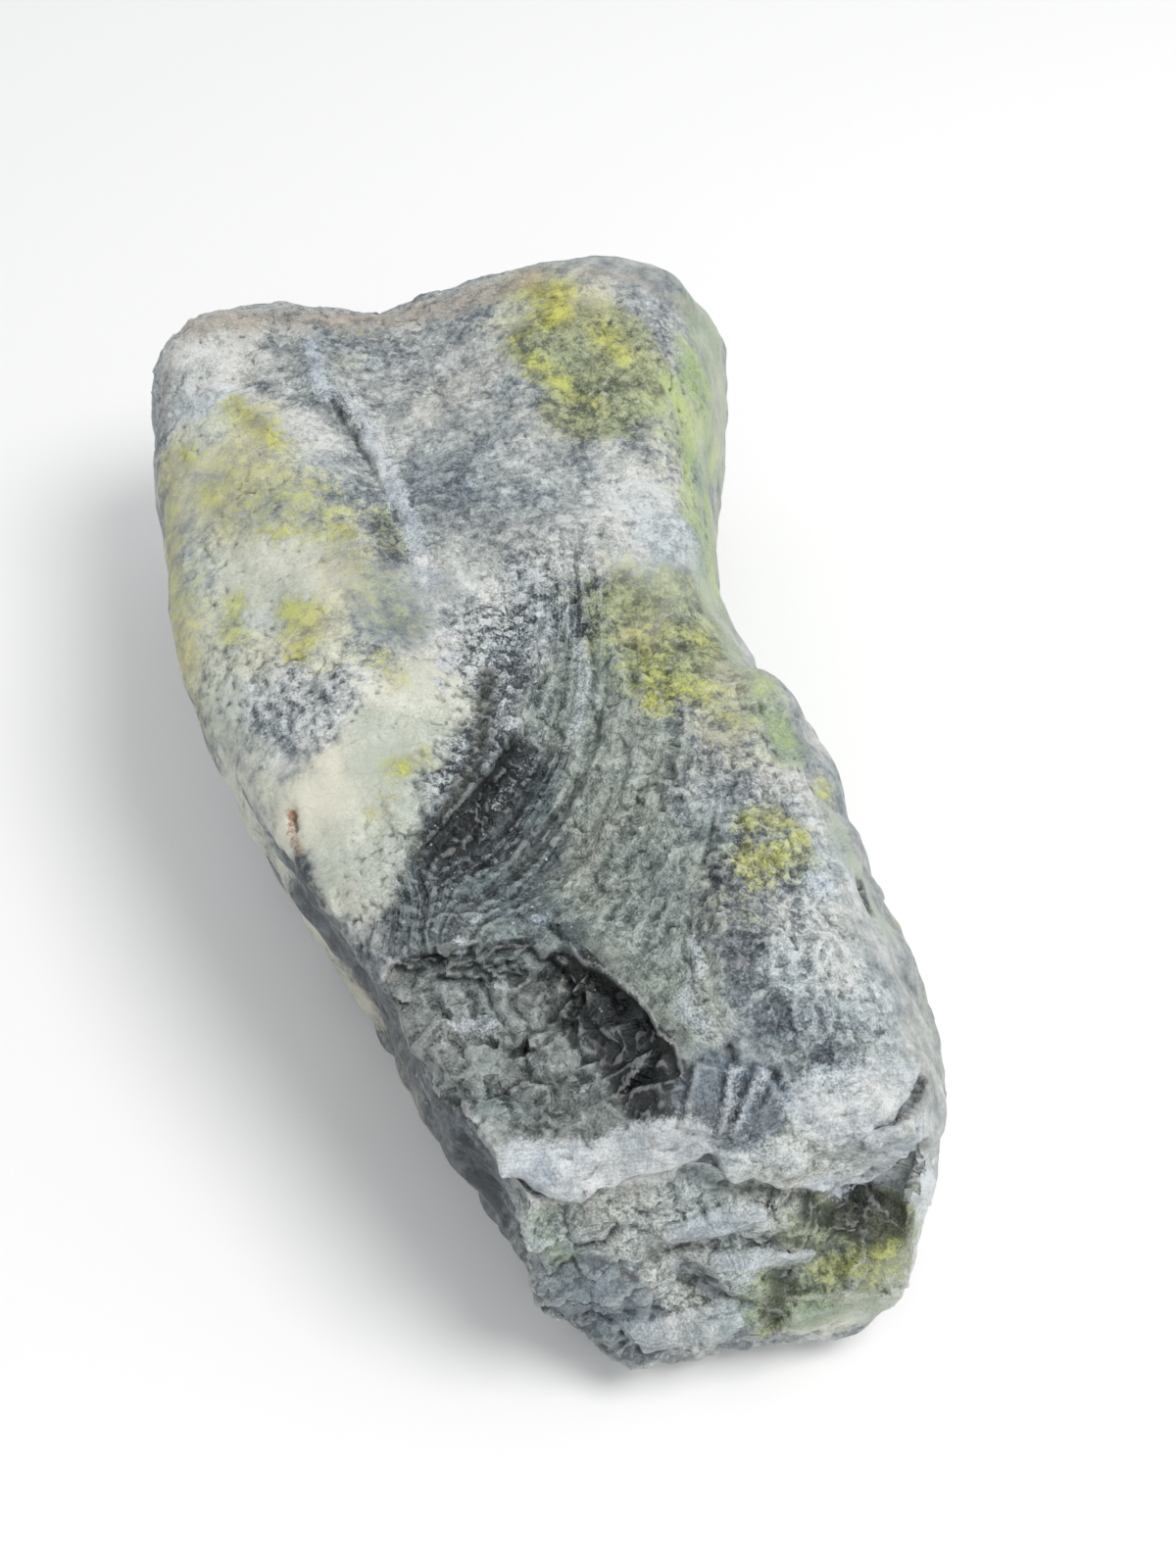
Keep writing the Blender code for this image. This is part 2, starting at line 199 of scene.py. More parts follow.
# Where ridges run along the grain: a radius, a strength and a line for each.
FLOWING = {
    "fold": (8, 1.0, [(580, 620), (588, 700), (555, 780), (490, 850), (450, 890)]),
    "field": (14, 0.8, [(610, 700), (600, 800), (540, 880), (470, 930)]),
    "sage": (14, 0.6, [(650, 760), (640, 860), (600, 940), (660, 1000)]),
    "flank": (12, 0.4, [(760, 800), (790, 940), (850, 1040)]),
    "scoop_wall": (5, 0.25, [(590, 990), (640, 1030), (670, 1085), (680, 1120)]),
    "ledge": (5, 0.3, [(545, 1190), (620, 1190), (700, 1170)]),
}

# Where micro relief is strong, since the stone was broken there and not tumbled: a radius, a strength and a line.
FRESH = {
    "fold": (12, 1.0, [(560, 600), (575, 700), (530, 780), (470, 840), (420, 890)]),
    "crest": (9, 0.8, [(500, 640), (470, 760)]),
    "sage": (16, 0.9, [(650, 740), (640, 860), (600, 940), (660, 1000)]),
    "flank": (14, 0.75, [(760, 800), (790, 940), (850, 1040)]),
    "scoop": (17, 0.5, [(460, 1020), (520, 1080), (600, 1100)]),
    "step": (10, 0.35, [(700, 1110), (800, 1130), (900, 1120)]),
    "ledge": (8, 0.5, [(540, 1190), (700, 1170), (860, 1190)]),
    "near_face": (16, 0.8, [(600, 1270), (720, 1270), (880, 1250)]),
    "near_foot": (14, 0.8, [(620, 1350), (760, 1330), (880, 1310)]),
    "right_top": (8, 0.6, [(690, 640), (760, 730)]),
    "left": (14, 0.45, [(240, 560), (260, 640), (300, 710), (350, 700)]),
    "far": (22, 0.6, [(230, 380), (360, 360), (500, 340), (640, 360)]),
    "middle": (22, 0.55, [(330, 500), (450, 500), (560, 500), (670, 480)]),
}

# The ground that the minerals lie in, from its darkest to its lightest tone, and what makes it lighter or darker.
GROUND = {0.0: (48, 54, 58), 0.25: (100, 107, 112), 0.5: (157, 162, 161), 0.75: (202, 205, 203), 1.0: (213, 215, 216)}
BUMPS = dict(plate_height=0.7, chip_height=0.9, fleck=0.3, grain=0.2, streak=0.25)
GROUND_TONE = 0.49
WALL_DARK_AND_SHADED, WALL_SHADE_ENDS_AT = 0.24, 75.0  # the left wall is darker, partly in colour and partly as painted shade for a wall that faces away from the light, and less so towards this far end
LIFTS = {
    "far_left": (9, 0.20, [(200, 345), (215, 380), (206, 440)]),
    "left_rim": (5, 0.10, [(180, 520), (200, 640), (240, 740)]),
    "yellow_left": (14, 0.12, [(235, 440), (250, 540), (225, 640)]),
    "far_line": (1.6, -0.3, [(250, 388), (300, 408), (340, 405), (362, 430)]),
    "far_mid": (8, 0.04, [(400, 350), (440, 385), (430, 430)]),
    "far_dark": (3, -0.12, [(392, 340), (432, 372), (452, 420)]),
    "blue": (8, -0.08, [(430, 510), (470, 540), (540, 560)]),
    "middle": (9, 0.04, [(560, 490), (610, 520), (650, 480)]),
    "middle_right": (8, 0.25, [(660, 510), (690, 560), (712, 610)]),
    "middle_dark_1": (1.6, -0.30, [(597, 430), (592, 475)]),
    "middle_dark_2": (1.8, -0.26, [(545, 417), (575, 427)]),
    "middle_dark_3": (1.6, -0.26, [(636, 440), (650, 455), (662, 470)]),
    "middle_dark_4": (2.2, -0.26, [(400, 566), (392, 521)]),
    "left_white": (7, 0.60, [(268, 575), (290, 600), (312, 586)]),
    "left_white_2": (4, 0.18, [(345, 480), (330, 450), (300, 425)]),
    "left_low": (7, 0.12, [(240, 740), (262, 790), (300, 780)]),
    "left_speck": (9, 0.16, [(270, 690), (320, 700), (350, 705)]),
    "left_dark_2": (2.6, -0.08, [(289, 748), (324, 765)]),
    "left_dark_3": (2.6, -0.06, [(337, 690), (364, 722), (350, 745)]),
    "left_dark_4": (3.0, -0.04, [(310, 705), (300, 730)]),
    "crest": (5, -0.15, [(505, 640), (482, 720), (465, 770)]),
    "crest_top": (6, 0.12, [(470, 606), (500, 640), (478, 668)]),
    "crest_shade": (2.5, -0.16, [(536, 660), (528, 700), (520, 750), (490, 800)]),
    "olive_mid": (6, -0.22, [(610, 640), (650, 660), (690, 650)]),
    # The stroke below paints shade on the slope under a low ridge across the top, partly a dark olive line.
    "cross_slope_shade": (2.5, -0.26, [(560, 606), (610, 600), (650, 625)]),
    "cross_light": (2.5, 0.20, [(500, 602), (560, 586), (640, 580), (690, 606)]),
    "right_up": (8, -0.14, [(720, 680), (760, 780)]),
    "right_mid": (7, -0.30, [(745, 870), (760, 920), (745, 970)]),
    "right_edge": (5, 0.14, [(800, 790), (860, 880), (900, 960)]),
    "light_right": (8, 0.12, [(820, 950), (860, 1010), (900, 1060)]),
    "flank_foot": (5, -0.12, [(780, 1060), (840, 1070)]),
    "edge_dark": (1.5, -0.3, [(765, 702), (797, 739), (806, 756)]),
    "near_face": (14, 0.36, [(590, 1270), (690, 1260), (790, 1250), (890, 1250)]),
    "near_foot": (14, 0.04, [(620, 1350), (700, 1330), (800, 1320), (880, 1310)]),
    "front_green_dark": (7, -0.20, [(800, 1238), (850, 1248), (900, 1245)]),
    "front_low_dark": (5, -0.40, [(780, 1315), (830, 1308)]),
    # The stroke below paints shade under the ledge lip, partly a dark bedding line.
    "front_under_ledge_shade": (4.0, -0.10, [(620, 1236), (720, 1205), (800, 1215)]),
    "front_mid": (4.0, -0.12, [(708, 1290), (726, 1322)]),
    "front_left": (8.0, -0.05, [(572, 1306), (605, 1330), (640, 1365)]),
    "front_right": (6.0, 0.2, [(935, 1230), (925, 1290)]),
    # wall and wall_near: darker colour on the left wall, partly painted shade.
    "wall": (9, -0.10, [(310, 900), (390, 1040), (440, 1130), (480, 1195)]),
    "wall_near": (9, -0.12, [(500, 1215), (550, 1305)]),
}
SPECKLED = {
    "crest": (6, 1.3, [(508, 640), (482, 720), (460, 780)]),
    "left": (10, 0.9, [(250, 690), (300, 710), (350, 700)]),
}

# The minerals, from the lowest to the highest; the near-black layer after rust is mostly painted shade. tones: the
# darkest and lightest colour, in sRGB. grain and edge: how much each texture counts in the tone, and in where the
# mineral breaks up. spread: how far it breaks up. crisp: how soft its edge is. veil: how much of what lies below it
# hides. soft: over how many millimetres it fades at the rim of a stroke. painted glints: how much of it has painted
# glints, white dots in its colour. strokes: a radius, how much is covered and a line in pixels for each.
MINERALS = {
    "sage": dict(
        tones=((83, 93, 89), (181, 188, 178)), grain=dict(streak=0.3, mottle=0.25, chip=0.2, fleck=0.1, grain=0.15),
        edge=dict(mottle=0.5, streak=0.3, fleck=0.2), spread=1.0, crisp=0.3, veil=0.95, soft=6.0, roughness=0.42,
        bump=0.8, painted_glints=0.5,
        strokes={
            "body": (13, 0.9, [(612, 720), (640, 780), (620, 860), (610, 930)]),
            "low": (10, 0.9, [(600, 950), (650, 980), (672, 1020)]),
            "hidden_right": (14, 0.7, [(56, -55, 34), (54, -85, 22)]),
            "hidden_left": (12, 0.5, [(-58, 95, 20), (-60, 60, 12)]),
            "right": (8, 0.7, [(690, 860), (690, 940)]),
        },
    ),
    "teal": dict(
        tones=((8, 15, 20), (114, 127, 131)), grain=dict(streak=0.5, mottle=0.1, chip=0.2, grain=0.2),
        edge=dict(streak=0.4, fleck=0.3, mottle=0.3), spread=1.0, crisp=0.25, veil=0.95, soft=5.0, roughness=0.4,
        bump=1.0, painted_glints=1.0,
        strokes={
            # The dark band under the fold is partly this green-grey mineral and partly painted shade in the crease.
            "under_fold": (7.5, 0.85, [(528, 800), (505, 830), (465, 870), (430, 900)]),
            "field": (11, 0.85, [(520, 860), (490, 900), (460, 930)]),
            "corner": (7, 0.8, [(520, 940), (555, 955)]),
            "fold_top": (5, 0.3, [(575, 640), (582, 700), (570, 760)]),
        },
    ),
    "broken": dict(
        tones=((37, 44, 45), (151, 159, 156)), grain=dict(mottle=0.25, plate=0.4, chip=0.15, grain=0.2),
        edge=dict(mottle=0.5, fleck=0.5), spread=0.6, crisp=0.2, veil=0.95, soft=3.0, roughness=0.5, bump=0.8,
        painted_glints=0.3,
        strokes={
            "top": (7, 1.0, [(440, 1010), (490, 995), (535, 985)]),
            "floor": (11, 1.0, [(470, 1060), (520, 1090), (560, 1080), (610, 1100)]),
            "foot": (7, 0.9, [(540, 1130), (600, 1120), (640, 1130)]),
        },
    ),
    "speckle": dict(
        tones=((117, 125, 121), (210, 214, 209)), grain=dict(grain=0.35, fleck=0.4, chip=0.25),
        edge=dict(mottle=0.6, fleck=0.4), spread=0.7, crisp=0.25, veil=0.85, soft=4.0, roughness=0.6, bump=0.9,
        painted_glints=0.4,
        strokes={
            "near_face": (11, 1.0, [(600, 1258), (660, 1262), (740, 1275), (790, 1290)]),
            "near_left": (7, 1.0, [(610, 1285), (650, 1300)]),
            "under_ledge": (4, 0.9, [(625, 1228), (700, 1212), (760, 1215), (800, 1225)]),
            "ledge_right": (4.5, 0.85, [(780, 1182), (830, 1192), (860, 1190)]),
            "low": (7, 0.9, [(665, 1340), (720, 1325), (760, 1312)]),
        },
    ),
    "block": dict(
        tones=((74, 83, 90), (142, 151, 156)), grain=dict(plate=0.45, chip=0.15, mottle=0.2, grain=0.2),
        edge=dict(plate=0.5, fleck=0.5), spread=0.8, crisp=0.2, veil=0.9, soft=3.0, roughness=0.5, bump=0.6,
        painted_glints=0.2,
        strokes={
            "low_left": (8, 1.0, [(590, 1310), (612, 1332), (635, 1358)]),
            "left": (5, 0.9, [(572, 1296), (602, 1340)]),
            "patch": (2.6, 0.9, [(702, 1298), (722, 1310)]),
        },
    ),
    "chlorite": dict(
        tones=((2, 3, 4), (38, 43, 45)), grain=dict(chip=0.5, grain=0.5), edge=dict(streak=0.45, fleck=0.35,
                                                                                        grain=0.2),
        spread=1.4, crisp=0.22, veil=0.92, soft=2.5, roughness=0.55, bump=0.8, painted_glints=0.5,
        strokes={
            # The fold strokes below are partly dark chlorite and partly painted shade on the fold's slopes that face
            # right and down.
            "fold": (1.8, 0.2, [(577, 636), (576, 690), (566, 730), (548, 762), (520, 800)]),
            "fold_low": (4.2, 0.84, [(530, 775), (500, 818), (470, 848), (440, 868)]),
            "second": (1.6, 0.35, [(535, 700), (530, 745), (514, 785), (490, 812), (465, 830)]),
            "third": (1.8, 0.6, [(590, 800), (560, 840), (520, 870)]),
            "fourth": (1.4, 0.55, [(560, 860), (520, 900), (470, 935)]),
            "scoop_wall": (4.8, 1.0, [(598, 1000), (632, 1026), (655, 1060), (672, 1090), (680, 1125)]),
            "scoop_wall_low": (4.5, 0.85, [(610, 1035), (640, 1085), (662, 1125)]),
            "scoop_wall_top": (2.0, 0.8, [(565, 975), (590, 1000)]),
            "layers": (1.6, 0.7, [(430, 978), (478, 986), (514, 964), (543, 963)]),
            # The pit, its tail, the cleft and the side hole below: dark chlorite that also paints the shade in these
            # hollows.
            "pit": (5.4, 1.0, [(862, 1232), (888, 1240), (903, 1250)]),
            "pit_tail": (2.2, 0.7, [(820, 1222), (860, 1232)]),
            "cleft": (1.2, 0.8, [(899, 1153), (918, 1142), (933, 1127), (943, 1104)]),
            "side_hole": (1.2, 0.9, [(877, 902), (881, 915), (887, 930)]),
        },
    ),
    "wash": dict(
        tones=((162, 160, 126), (211, 211, 182)), grain=dict(mottle=0.5, fleck=0.3, grain=0.2),
        edge=dict(cloud=0.3, mottle=0.5, fleck=0.2), spread=1.2, crisp=0.35, veil=0.75, soft=7.0, roughness=0.7,
        bump=0.5, painted_glints=0.0,
        strokes={
            "left": (16, 0.70, [(215, 470), (265, 530), (240, 610), (205, 670)]),
            "left_edge": (6, 0.7, [(172, 470), (176, 560), (190, 650), (215, 730)]),
            "left_inner": (8, 0.6, [(320, 540), (330, 610), (340, 660)]),
            "far_right": (12, 0.7, [(550, 310), (610, 350), (670, 400)]),
            "middle": (9, 0.6, [(640, 620), (700, 660), (750, 730)]),
            "ring": (5, 0.4, [(780, 850), (810, 870)]),
            "front": (9, 0.4, [(840, 1270), (890, 1290), (820, 1340)]),
        },
    ),
    "cream": dict(
        tones=((184, 186, 169), (209, 210, 197)), grain=dict(cloud=0.4, mottle=0.3, grain=0.3),
        edge=dict(mottle=0.6, fleck=0.4), spread=0.7, crisp=0.3, veil=0.92, soft=5.0, roughness=0.5, bump=0.3,
        painted_glints=0.0,
        strokes={
            "body": (9, 0.95, [(430, 710), (400, 760), (360, 800), (330, 830)]),
            "low": (7, 0.95, [(390, 830), (372, 870), (365, 900)]),
            "left_band": (6, 0.6, [(225, 720), (250, 790), (285, 830)]),
            "upper": (6.0, 0.9, [(262, 580), (290, 600)]),
            "left_edge": (5, 0.5, [(190, 600), (215, 680), (235, 740)]),
            "lobe": (5.0, 1.0, [(808, 1352), (835, 1352), (874, 1342), (905, 1318)]),
            "hidden_left": (10, 0.7, [(-56, -5, 48), (-56, -15, 30), (-54, -30, 14)]),
            "hidden_far": (9, 0.6, [(45, 111, 20), (15, 111, 12)]),
        },
    ),
    "olive": dict(
        tones=((66, 76, 50), (172, 178, 134)), grain=dict(chip=0.2, fleck=0.2, grain=0.2, mottle=0.4),
        edge=dict(fleck=0.4, mottle=0.4, grain=0.2), spread=1.2, crisp=0.32, veil=0.8, soft=5.0, roughness=0.7,
        bump=0.7, painted_glints=0.0,
        strokes={
            "far_right": (10, 0.92, [(560, 350), (610, 340), (645, 385), (600, 415)]),
            "far_right_low": (5, 0.55, [(640, 410), (670, 400)]),
            "middle_streaks": (4.5, 0.62, [(600, 610), (612, 650), (640, 690)]),
            "middle": (6.0, 0.85, [(640, 610), (690, 600), (720, 640), (672, 690)]),
            "left_spot": (3.5, 0.62, [(395, 520), (402, 560)]),
            "left": (6.0, 0.5, [(350, 560), (380, 590), (410, 640)]),
            "left_field": (7.0, 0.42, [(230, 500), (310, 530)]),
            "far_rim": (3.0, 0.5, [(340, 345), (372, 340), (350, 370)]),
            "flank": (4.0, 0.3, [(740, 900), (770, 940)]),
            "front_right": (8.0, 0.78, [(820, 1262), (870, 1285), (905, 1262)]),
            "front_low_mid": (5.0, 0.95, [(785, 1318), (850, 1316)]),
            "hidden_far": (11, 0.5, [(-35, 111, 48), (-5, 111, 38), (25, 111, 50)]),
            "hidden_right": (8, 0.45, [(55, -40, 38), (52, -70, 30)]),
            "hidden_left": (9, 0.5, [(-60, 80, 45), (-60, 50, 35), (-58, 20, 30)]),
            "front_low": (3.4, 0.84, [(800, 1306), (792, 1335), (778, 1362)]),
            "front_low_right": (5.0, 0.6, [(830, 1315), (890, 1310)]),
            "pit_rim": (3.0, 0.55, [(905, 1230), (925, 1215)]),
        },
    ),
    "green": dict(
        tones=((118, 136, 112), (164, 174, 151)), grain=dict(cloud=0.25, mottle=0.25, streak=0.2, grain=0.3),
        edge=dict(mottle=0.7, fleck=0.3), spread=0.8, crisp=0.3, veil=0.85, soft=5.0, roughness=0.4, bump=0.1, painted_glints=0.0,
        strokes={
            "far_corner": (9, 0.9, [(715, 330), (733, 385), (732, 450)]),
            "band": (3.5, 0.5, [(676, 372), (692, 440), (702, 500), (708, 570)]),
            "face_far": (9, 0.95, [(715, 400), (718, 470), (725, 540), (730, 600)]),
            "face_mid": (4, 0.9, [(745, 662), (775, 705), (802, 765)]),
            "face_near": (3, 0.7, [(838, 816), (878, 890), (903, 950)]),
            "near_low": (2.4, 0.85, [(725, 1364), (768, 1346)]),
            "near_right": (2.4, 0.8, [(815, 1338), (890, 1335)]),
            "near_left": (4.0, 0.6, [(556, 1245), (572, 1275)]),
            "hidden_right": (13, 0.66, [(58, 90, 30), (50, 55, 24), (44, 20, 26), (46, -5, 36)]),
            "hidden_far": (10, 0.6, [(50, 111, 40), (25, 111, 30)]),
        },
    ),
    "lime": dict(
        tones=((151, 168, 105), (178, 194, 127)), grain=dict(cloud=0.6, grain=0.4), edge=dict(mottle=1.0),
        spread=0.6, crisp=0.35, veil=0.8, soft=4.5, roughness=0.45, bump=0.1, painted_glints=0.0,
        strokes={
            "strip": (4.0, 0.85, [(686, 392), (702, 432), (700, 480), (712, 540)]),
            "edge": (2.5, 0.6, [(775, 700), (800, 755)]),
            "face": (5.0, 0.55, [(722, 500), (728, 590)]),
            "face_up": (6.0, 0.6, [(706, 362), (718, 420), (724, 470)]),
            "inward": (4.5, 0.34, [(672, 396), (680, 440), (690, 500)]),
        },
    ),
    "lemon": dict(
        tones=((119, 117, 39), (197, 197, 94)), grain=dict(chip=0.2, fleck=0.2, grain=0.2, mottle=0.4),
        edge=dict(fleck=0.4, mottle=0.4, grain=0.2), spread=1.2, crisp=0.4, veil=0.85, soft=4.0, roughness=0.85,
        bump=0.5, painted_glints=0.0,
        strokes={
            "far_left_1": (3.0, 0.75, [(234, 412), (246, 430), (268, 437), (284, 450)]),
            "far_left_2": (2.2, 0.75, [(188, 462), (198, 468)]),
            "left_field": (10, 0.36, [(235, 490), (280, 515), (320, 515)]),
            "left_rim": (5, 0.42, [(172, 470), (175, 530), (182, 600), (195, 670)]),
            "left_3": (2.2, 0.7, [(262, 542), (286, 550)]),
            "left_4": (2.2, 0.7, [(326, 496), (336, 500)]),
            "left_5": (2.4, 0.7, [(350, 538), (362, 545)]),
            "left_6": (3.0, 0.7, [(242, 618), (240, 642)]),
            "left_7": (3.4, 0.7, [(300, 624), (312, 645), (306, 662)]),
            "left_8": (1.8, 0.75, [(388, 671), (396, 692)]),
            "cream_spot": (2.8, 0.8, [(410, 787), (426, 780)]),
            "cream_spot_low": (2.0, 0.5, [(382, 826), (392, 815)]),
            "far_1": (4.0, 0.8, [(540, 296), (562, 304), (572, 300), (560, 322)]),
            "far_2": (2.0, 0.65, [(543, 328), (528, 350)]),
            "far_3": (3.0, 0.65, [(542, 368), (552, 380), (578, 392)]),
            "far_4": (3.2, 0.65, [(612, 336), (632, 358)]),
            "far_5": (3.5, 0.5, [(590, 398), (604, 412)]),
            "middle": (4.0, 0.56, [(648, 655), (668, 690), (674, 716), (698, 700), (715, 705)]),
            "middle_top": (3.0, 0.42, [(690, 640), (720, 655)]),
            "middle_right": (2.0, 0.7, [(744, 729), (754, 733)]),
            "ring_1": (3.2, 0.72, [(766, 836), (797, 832), (815, 850)]),
            "ring_2": (3.2, 0.68, [(816, 858), (812, 876), (786, 878)]),
            "ring_3": (2.6, 0.66, [(764, 868), (768, 888)]),
            "edge_1": (1.4, 0.7, [(840, 798), (848, 808)]),
            "hidden_far": (5, 0.5, [(-38, 111, 50), (-22, 111, 42)]),
            "front": (2.8, 0.65, [(842, 1288), (870, 1284), (895, 1276)]),
            "front_low": (1.8, 0.45, [(776, 1365), (784, 1350)]),
        },
    ),
    "brown": dict(
        tones=((126, 115, 105), (170, 159, 146)), grain=dict(mottle=0.6, grain=0.4), edge=dict(mottle=0.6, fleck=0.4),
        spread=0.8, crisp=0.35, veil=0.7, soft=4.0, roughness=0.6, bump=0.3, painted_glints=0.0,
        strokes={
            "far_rim": (4.5, 0.72, [(190, 335), (250, 325), (360, 327), (430, 317), (490, 300), (545, 285)]),
            "far_rim_right": (2.5, 0.6, [(600, 276), (660, 287), (703, 316)]),
            "left_rim": (2.0, 0.6, [(176, 352), (167, 400), (168, 440)]),
            "pink": (2.6, 0.5, [(712, 752), (745, 750)]),
            "cream_stain": (1.8, 0.5, [(388, 818), (398, 822)]),
            "slab_edge": (2.5, 0.5, [(330, 890), (372, 950), (405, 990)]),
            "hidden_left": (12, 0.35, [(-45, -60, 25), (-50, -20, 15)]),
            "hidden_far": (9, 0.4, [(-40, 111, 55), (10, 111, 50)]),
        },
    ),
    "rust": dict(
        tones=((119, 75, 51), (159, 117, 86)), grain=dict(grain=1.0), edge=dict(fleck=1.0), spread=0.8, crisp=0.3,
        veil=0.85, soft=1.0, roughness=0.8, bump=0.3, painted_glints=0.0,
        strokes={
            "left_nick": (0.9, 0.8, [(297, 828), (299, 840)]),
            "left_nick_tail": (1.2, 0.5, [(300, 845), (303, 868)]),
            "white_slab": (0.8, 0.5, [(831, 1125), (842, 1124)]),
            "white_slab_line": (0.4, 0.5, [(840, 1112), (858, 1108), (872, 1103)]),
            "front_line": (0.4, 0.55, [(617, 1303), (651, 1300)]),
        },
    ),
    # Painted shade, mostly: this near-black layer darkens the pit, the band under the ledge and under the upper slab,
    # the cracks and the notch, where shade falls; along the fold it is partly a dark mineral.
    "dark_mineral_and_shade": dict(
        tones=((12, 15, 12), (76, 81, 68)), grain=dict(chip=0.4, grain=0.3, fleck=0.3),
        edge=dict(fleck=0.5, chip=0.3, grain=0.2), spread=1.0, crisp=0.2, veil=0.88, soft=2.0, roughness=0.6, bump=0.8,
        painted_glints=0.1,
        strokes={
            "pit": (4.2, 0.95, [(868, 1230), (888, 1238), (900, 1246)]),
            "pit_band": (2.6, 0.74, [(826, 1236), (850, 1246), (880, 1260), (896, 1262)]),
            "under_upper": (2.0, 0.6, [(780, 1262), (806, 1268), (832, 1277)]),
            "patch": (2.2, 0.45, [(700, 1292), (722, 1306), (735, 1318)]),
            "low": (2.6, 0.66, [(798, 1300), (800, 1325), (788, 1345)]),
            "under_ledge": (1.6, 0.55, [(708, 1196), (730, 1208), (770, 1212), (800, 1214)]),
            "blade_right": (2.0, 0.6, [(800, 1132), (802, 1146)]),
            "blade_crack": (0.8, 0.8, [(789, 1096), (797, 1113)]),
            "slab_notch": (1.6, 0.62, [(918, 1122), (938, 1108)]),
            "front_green": (4.6, 0.36, [(842, 1276), (872, 1288)]),
            "fold": (1.8, 0.75, [(497, 690), (494, 740), (480, 790), (455, 826)]),
            "fold_2": (1.2, 0.35, [(566, 640), (570, 690), (560, 740), (540, 775)]),
            "fold_3": (1.2, 0.4, [(586, 700), (580, 750), (560, 795), (530, 830)]),
        },
    ),
    "blade": dict(
        tones=((46, 54, 62), (118, 128, 137)), grain=dict(fleck=0.3, grain=0.4, fibre=0.3),
        edge=dict(fleck=1.0), spread=0.4, crisp=0.2, veil=0.9, soft=1.6, roughness=0.5, bump=0.35, painted_glints=0.0,
        strokes={
            "first": (3.2, 0.95, [(729, 1090), (716, 1148)]),
            "left": (1.6, 0.8, [(698, 1104), (690, 1144)]),
            "rest": (4.6, 0.85, [(765, 1110), (760, 1145), (785, 1130)]),
        },
    ),
    "slab": dict(
        tones=((138, 145, 149), (204, 208, 210)), grain=dict(fibre=0.3, mottle=0.4, grain=0.3),
        edge=dict(fleck=1.0), spread=0.5, crisp=0.2, veil=0.75, soft=1.0, roughness=0.55, bump=0.4, painted_glints=0.0,
        strokes={},
    ),
    "chalk": dict(
        tones=((150, 160, 168), (211, 215, 218)), grain=dict(fibre=0.12, chip=0.2, mottle=0.4, grain=0.28),
        edge=dict(fleck=0.4, streak=0.3, grain=0.3), spread=1.0, crisp=0.25, veil=0.92, soft=2.4, roughness=0.7,
        bump=0.7, painted_glints=0.0,
        strokes={
            "ledge": (4.6, 0.9, [(532, 1190), (560, 1196), (600, 1196), (650, 1176), (700, 1166)]),
            "ledge_low": (2.6, 0.85, [(560, 1210), (600, 1220)]),
            "ledge_right": (3.0, 0.5, [(720, 1168), (770, 1175), (820, 1185)]),
            "white_slab": (5.0, 0.6, [(822, 1122), (880, 1112), (925, 1104)]),
            "white_slab_low": (3.5, 0.62, [(850, 1150), (900, 1152)]),
            "right_lip": (2.6, 0.8, [(836, 1212), (886, 1205), (915, 1180), (945, 1150)]),
            "groove_ribs": (2.3, 0.8, [(358, 405), (378, 440), (394, 478), (408, 515), (424, 550), (438, 590)]),
            "crest_1": (2.2, 0.75, [(452, 676), (462, 668)]),
            "crest_2": (1.4, 0.8, [(449, 698), (452, 702)]),
            "far_band": (2.2, 0.7, [(318, 353), (327, 385), (334, 402)]),
            "fold_light": (1.3, 0.6, [(590, 640), (596, 690), (588, 740), (570, 775)]),
            "fold_light_2": (0.9, 0.5, [(562, 700), (556, 745), (535, 785), (505, 820)]),
            "right_mid": (2.2, 0.7, [(830, 900), (842, 905)]),
            "hidden_right": (8, 0.6, [(50, -22, 26), (54, -40, 14)]),
            "hidden_far": (8, 0.55, [(-55, 105, 30), (-35, 111, 16)]),
            "hidden_left": (6, 0.55, [(-60, 40, 20), (-58, 10, 14)]),
            "flake_1": (1.0, 0.9, [(471, 962), (472, 970)]),
            "flake_2": (0.4, 0.85, [(472, 948), (482, 940), (494, 929)]),
            "flake_3": (0.6, 0.85, [(549, 937), (553, 938)]),
            "flake_band": (1.6, 0.7, [(707, 962), (712, 985), (704, 1005), (699, 1030), (720, 1050)]),
            "scoop_patch": (2.0, 0.7, [(452, 1052), (475, 1046), (497, 1046)]),
            "scoop_spots": (0.9, 0.75, [(497, 1006), (512, 1004)]),
            "blade_edge_1": (0.5, 0.7, [(710, 1095), (703, 1115), (696, 1146)]),
            "blade_edge_2": (0.9, 0.85, [(751, 1090), (744, 1118), (739, 1152)]),
            "blade_edge_3": (0.5, 0.7, [(764, 1104), (756, 1124), (746, 1146)]),
            "blade_edge_4": (0.6, 0.8, [(782, 1095), (768, 1120), (749, 1156)]),
            "plate_edge_1": (0.5, 0.75, [(530, 1044), (545, 1037), (556, 1030)]),
            "plate_edge_2": (0.6, 0.7, [(537, 1081), (549, 1089), (563, 1087)]),
            "plate_edge_3": (0.5, 0.65, [(567, 1117), (584, 1115), (604, 1106)]),
        },
    ),
}


# Where the grain runs another way: a radius, the direction across the grain there, and a line.
GRAIN_TURNS = {
    "ledge": (7, (0.12, 0.97, 0.5), [(535, 1195), (600, 1200), (690, 1172), (760, 1180)]),
    "white_slab": (8, (0.12, 0.97, 0.5), [(810, 1130), (880, 1120), (935, 1110), (920, 1170), (850, 1190)]),
    "blades": (5, (0.97, -0.26, 0.0), [(712, 1095), (716, 1140), (750, 1125), (782, 1100)]),
    "scoop_wall": (6, (-0.6, -0.29, -0.9), [(590, 990), (640, 1030), (670, 1085), (680, 1125)]),
}


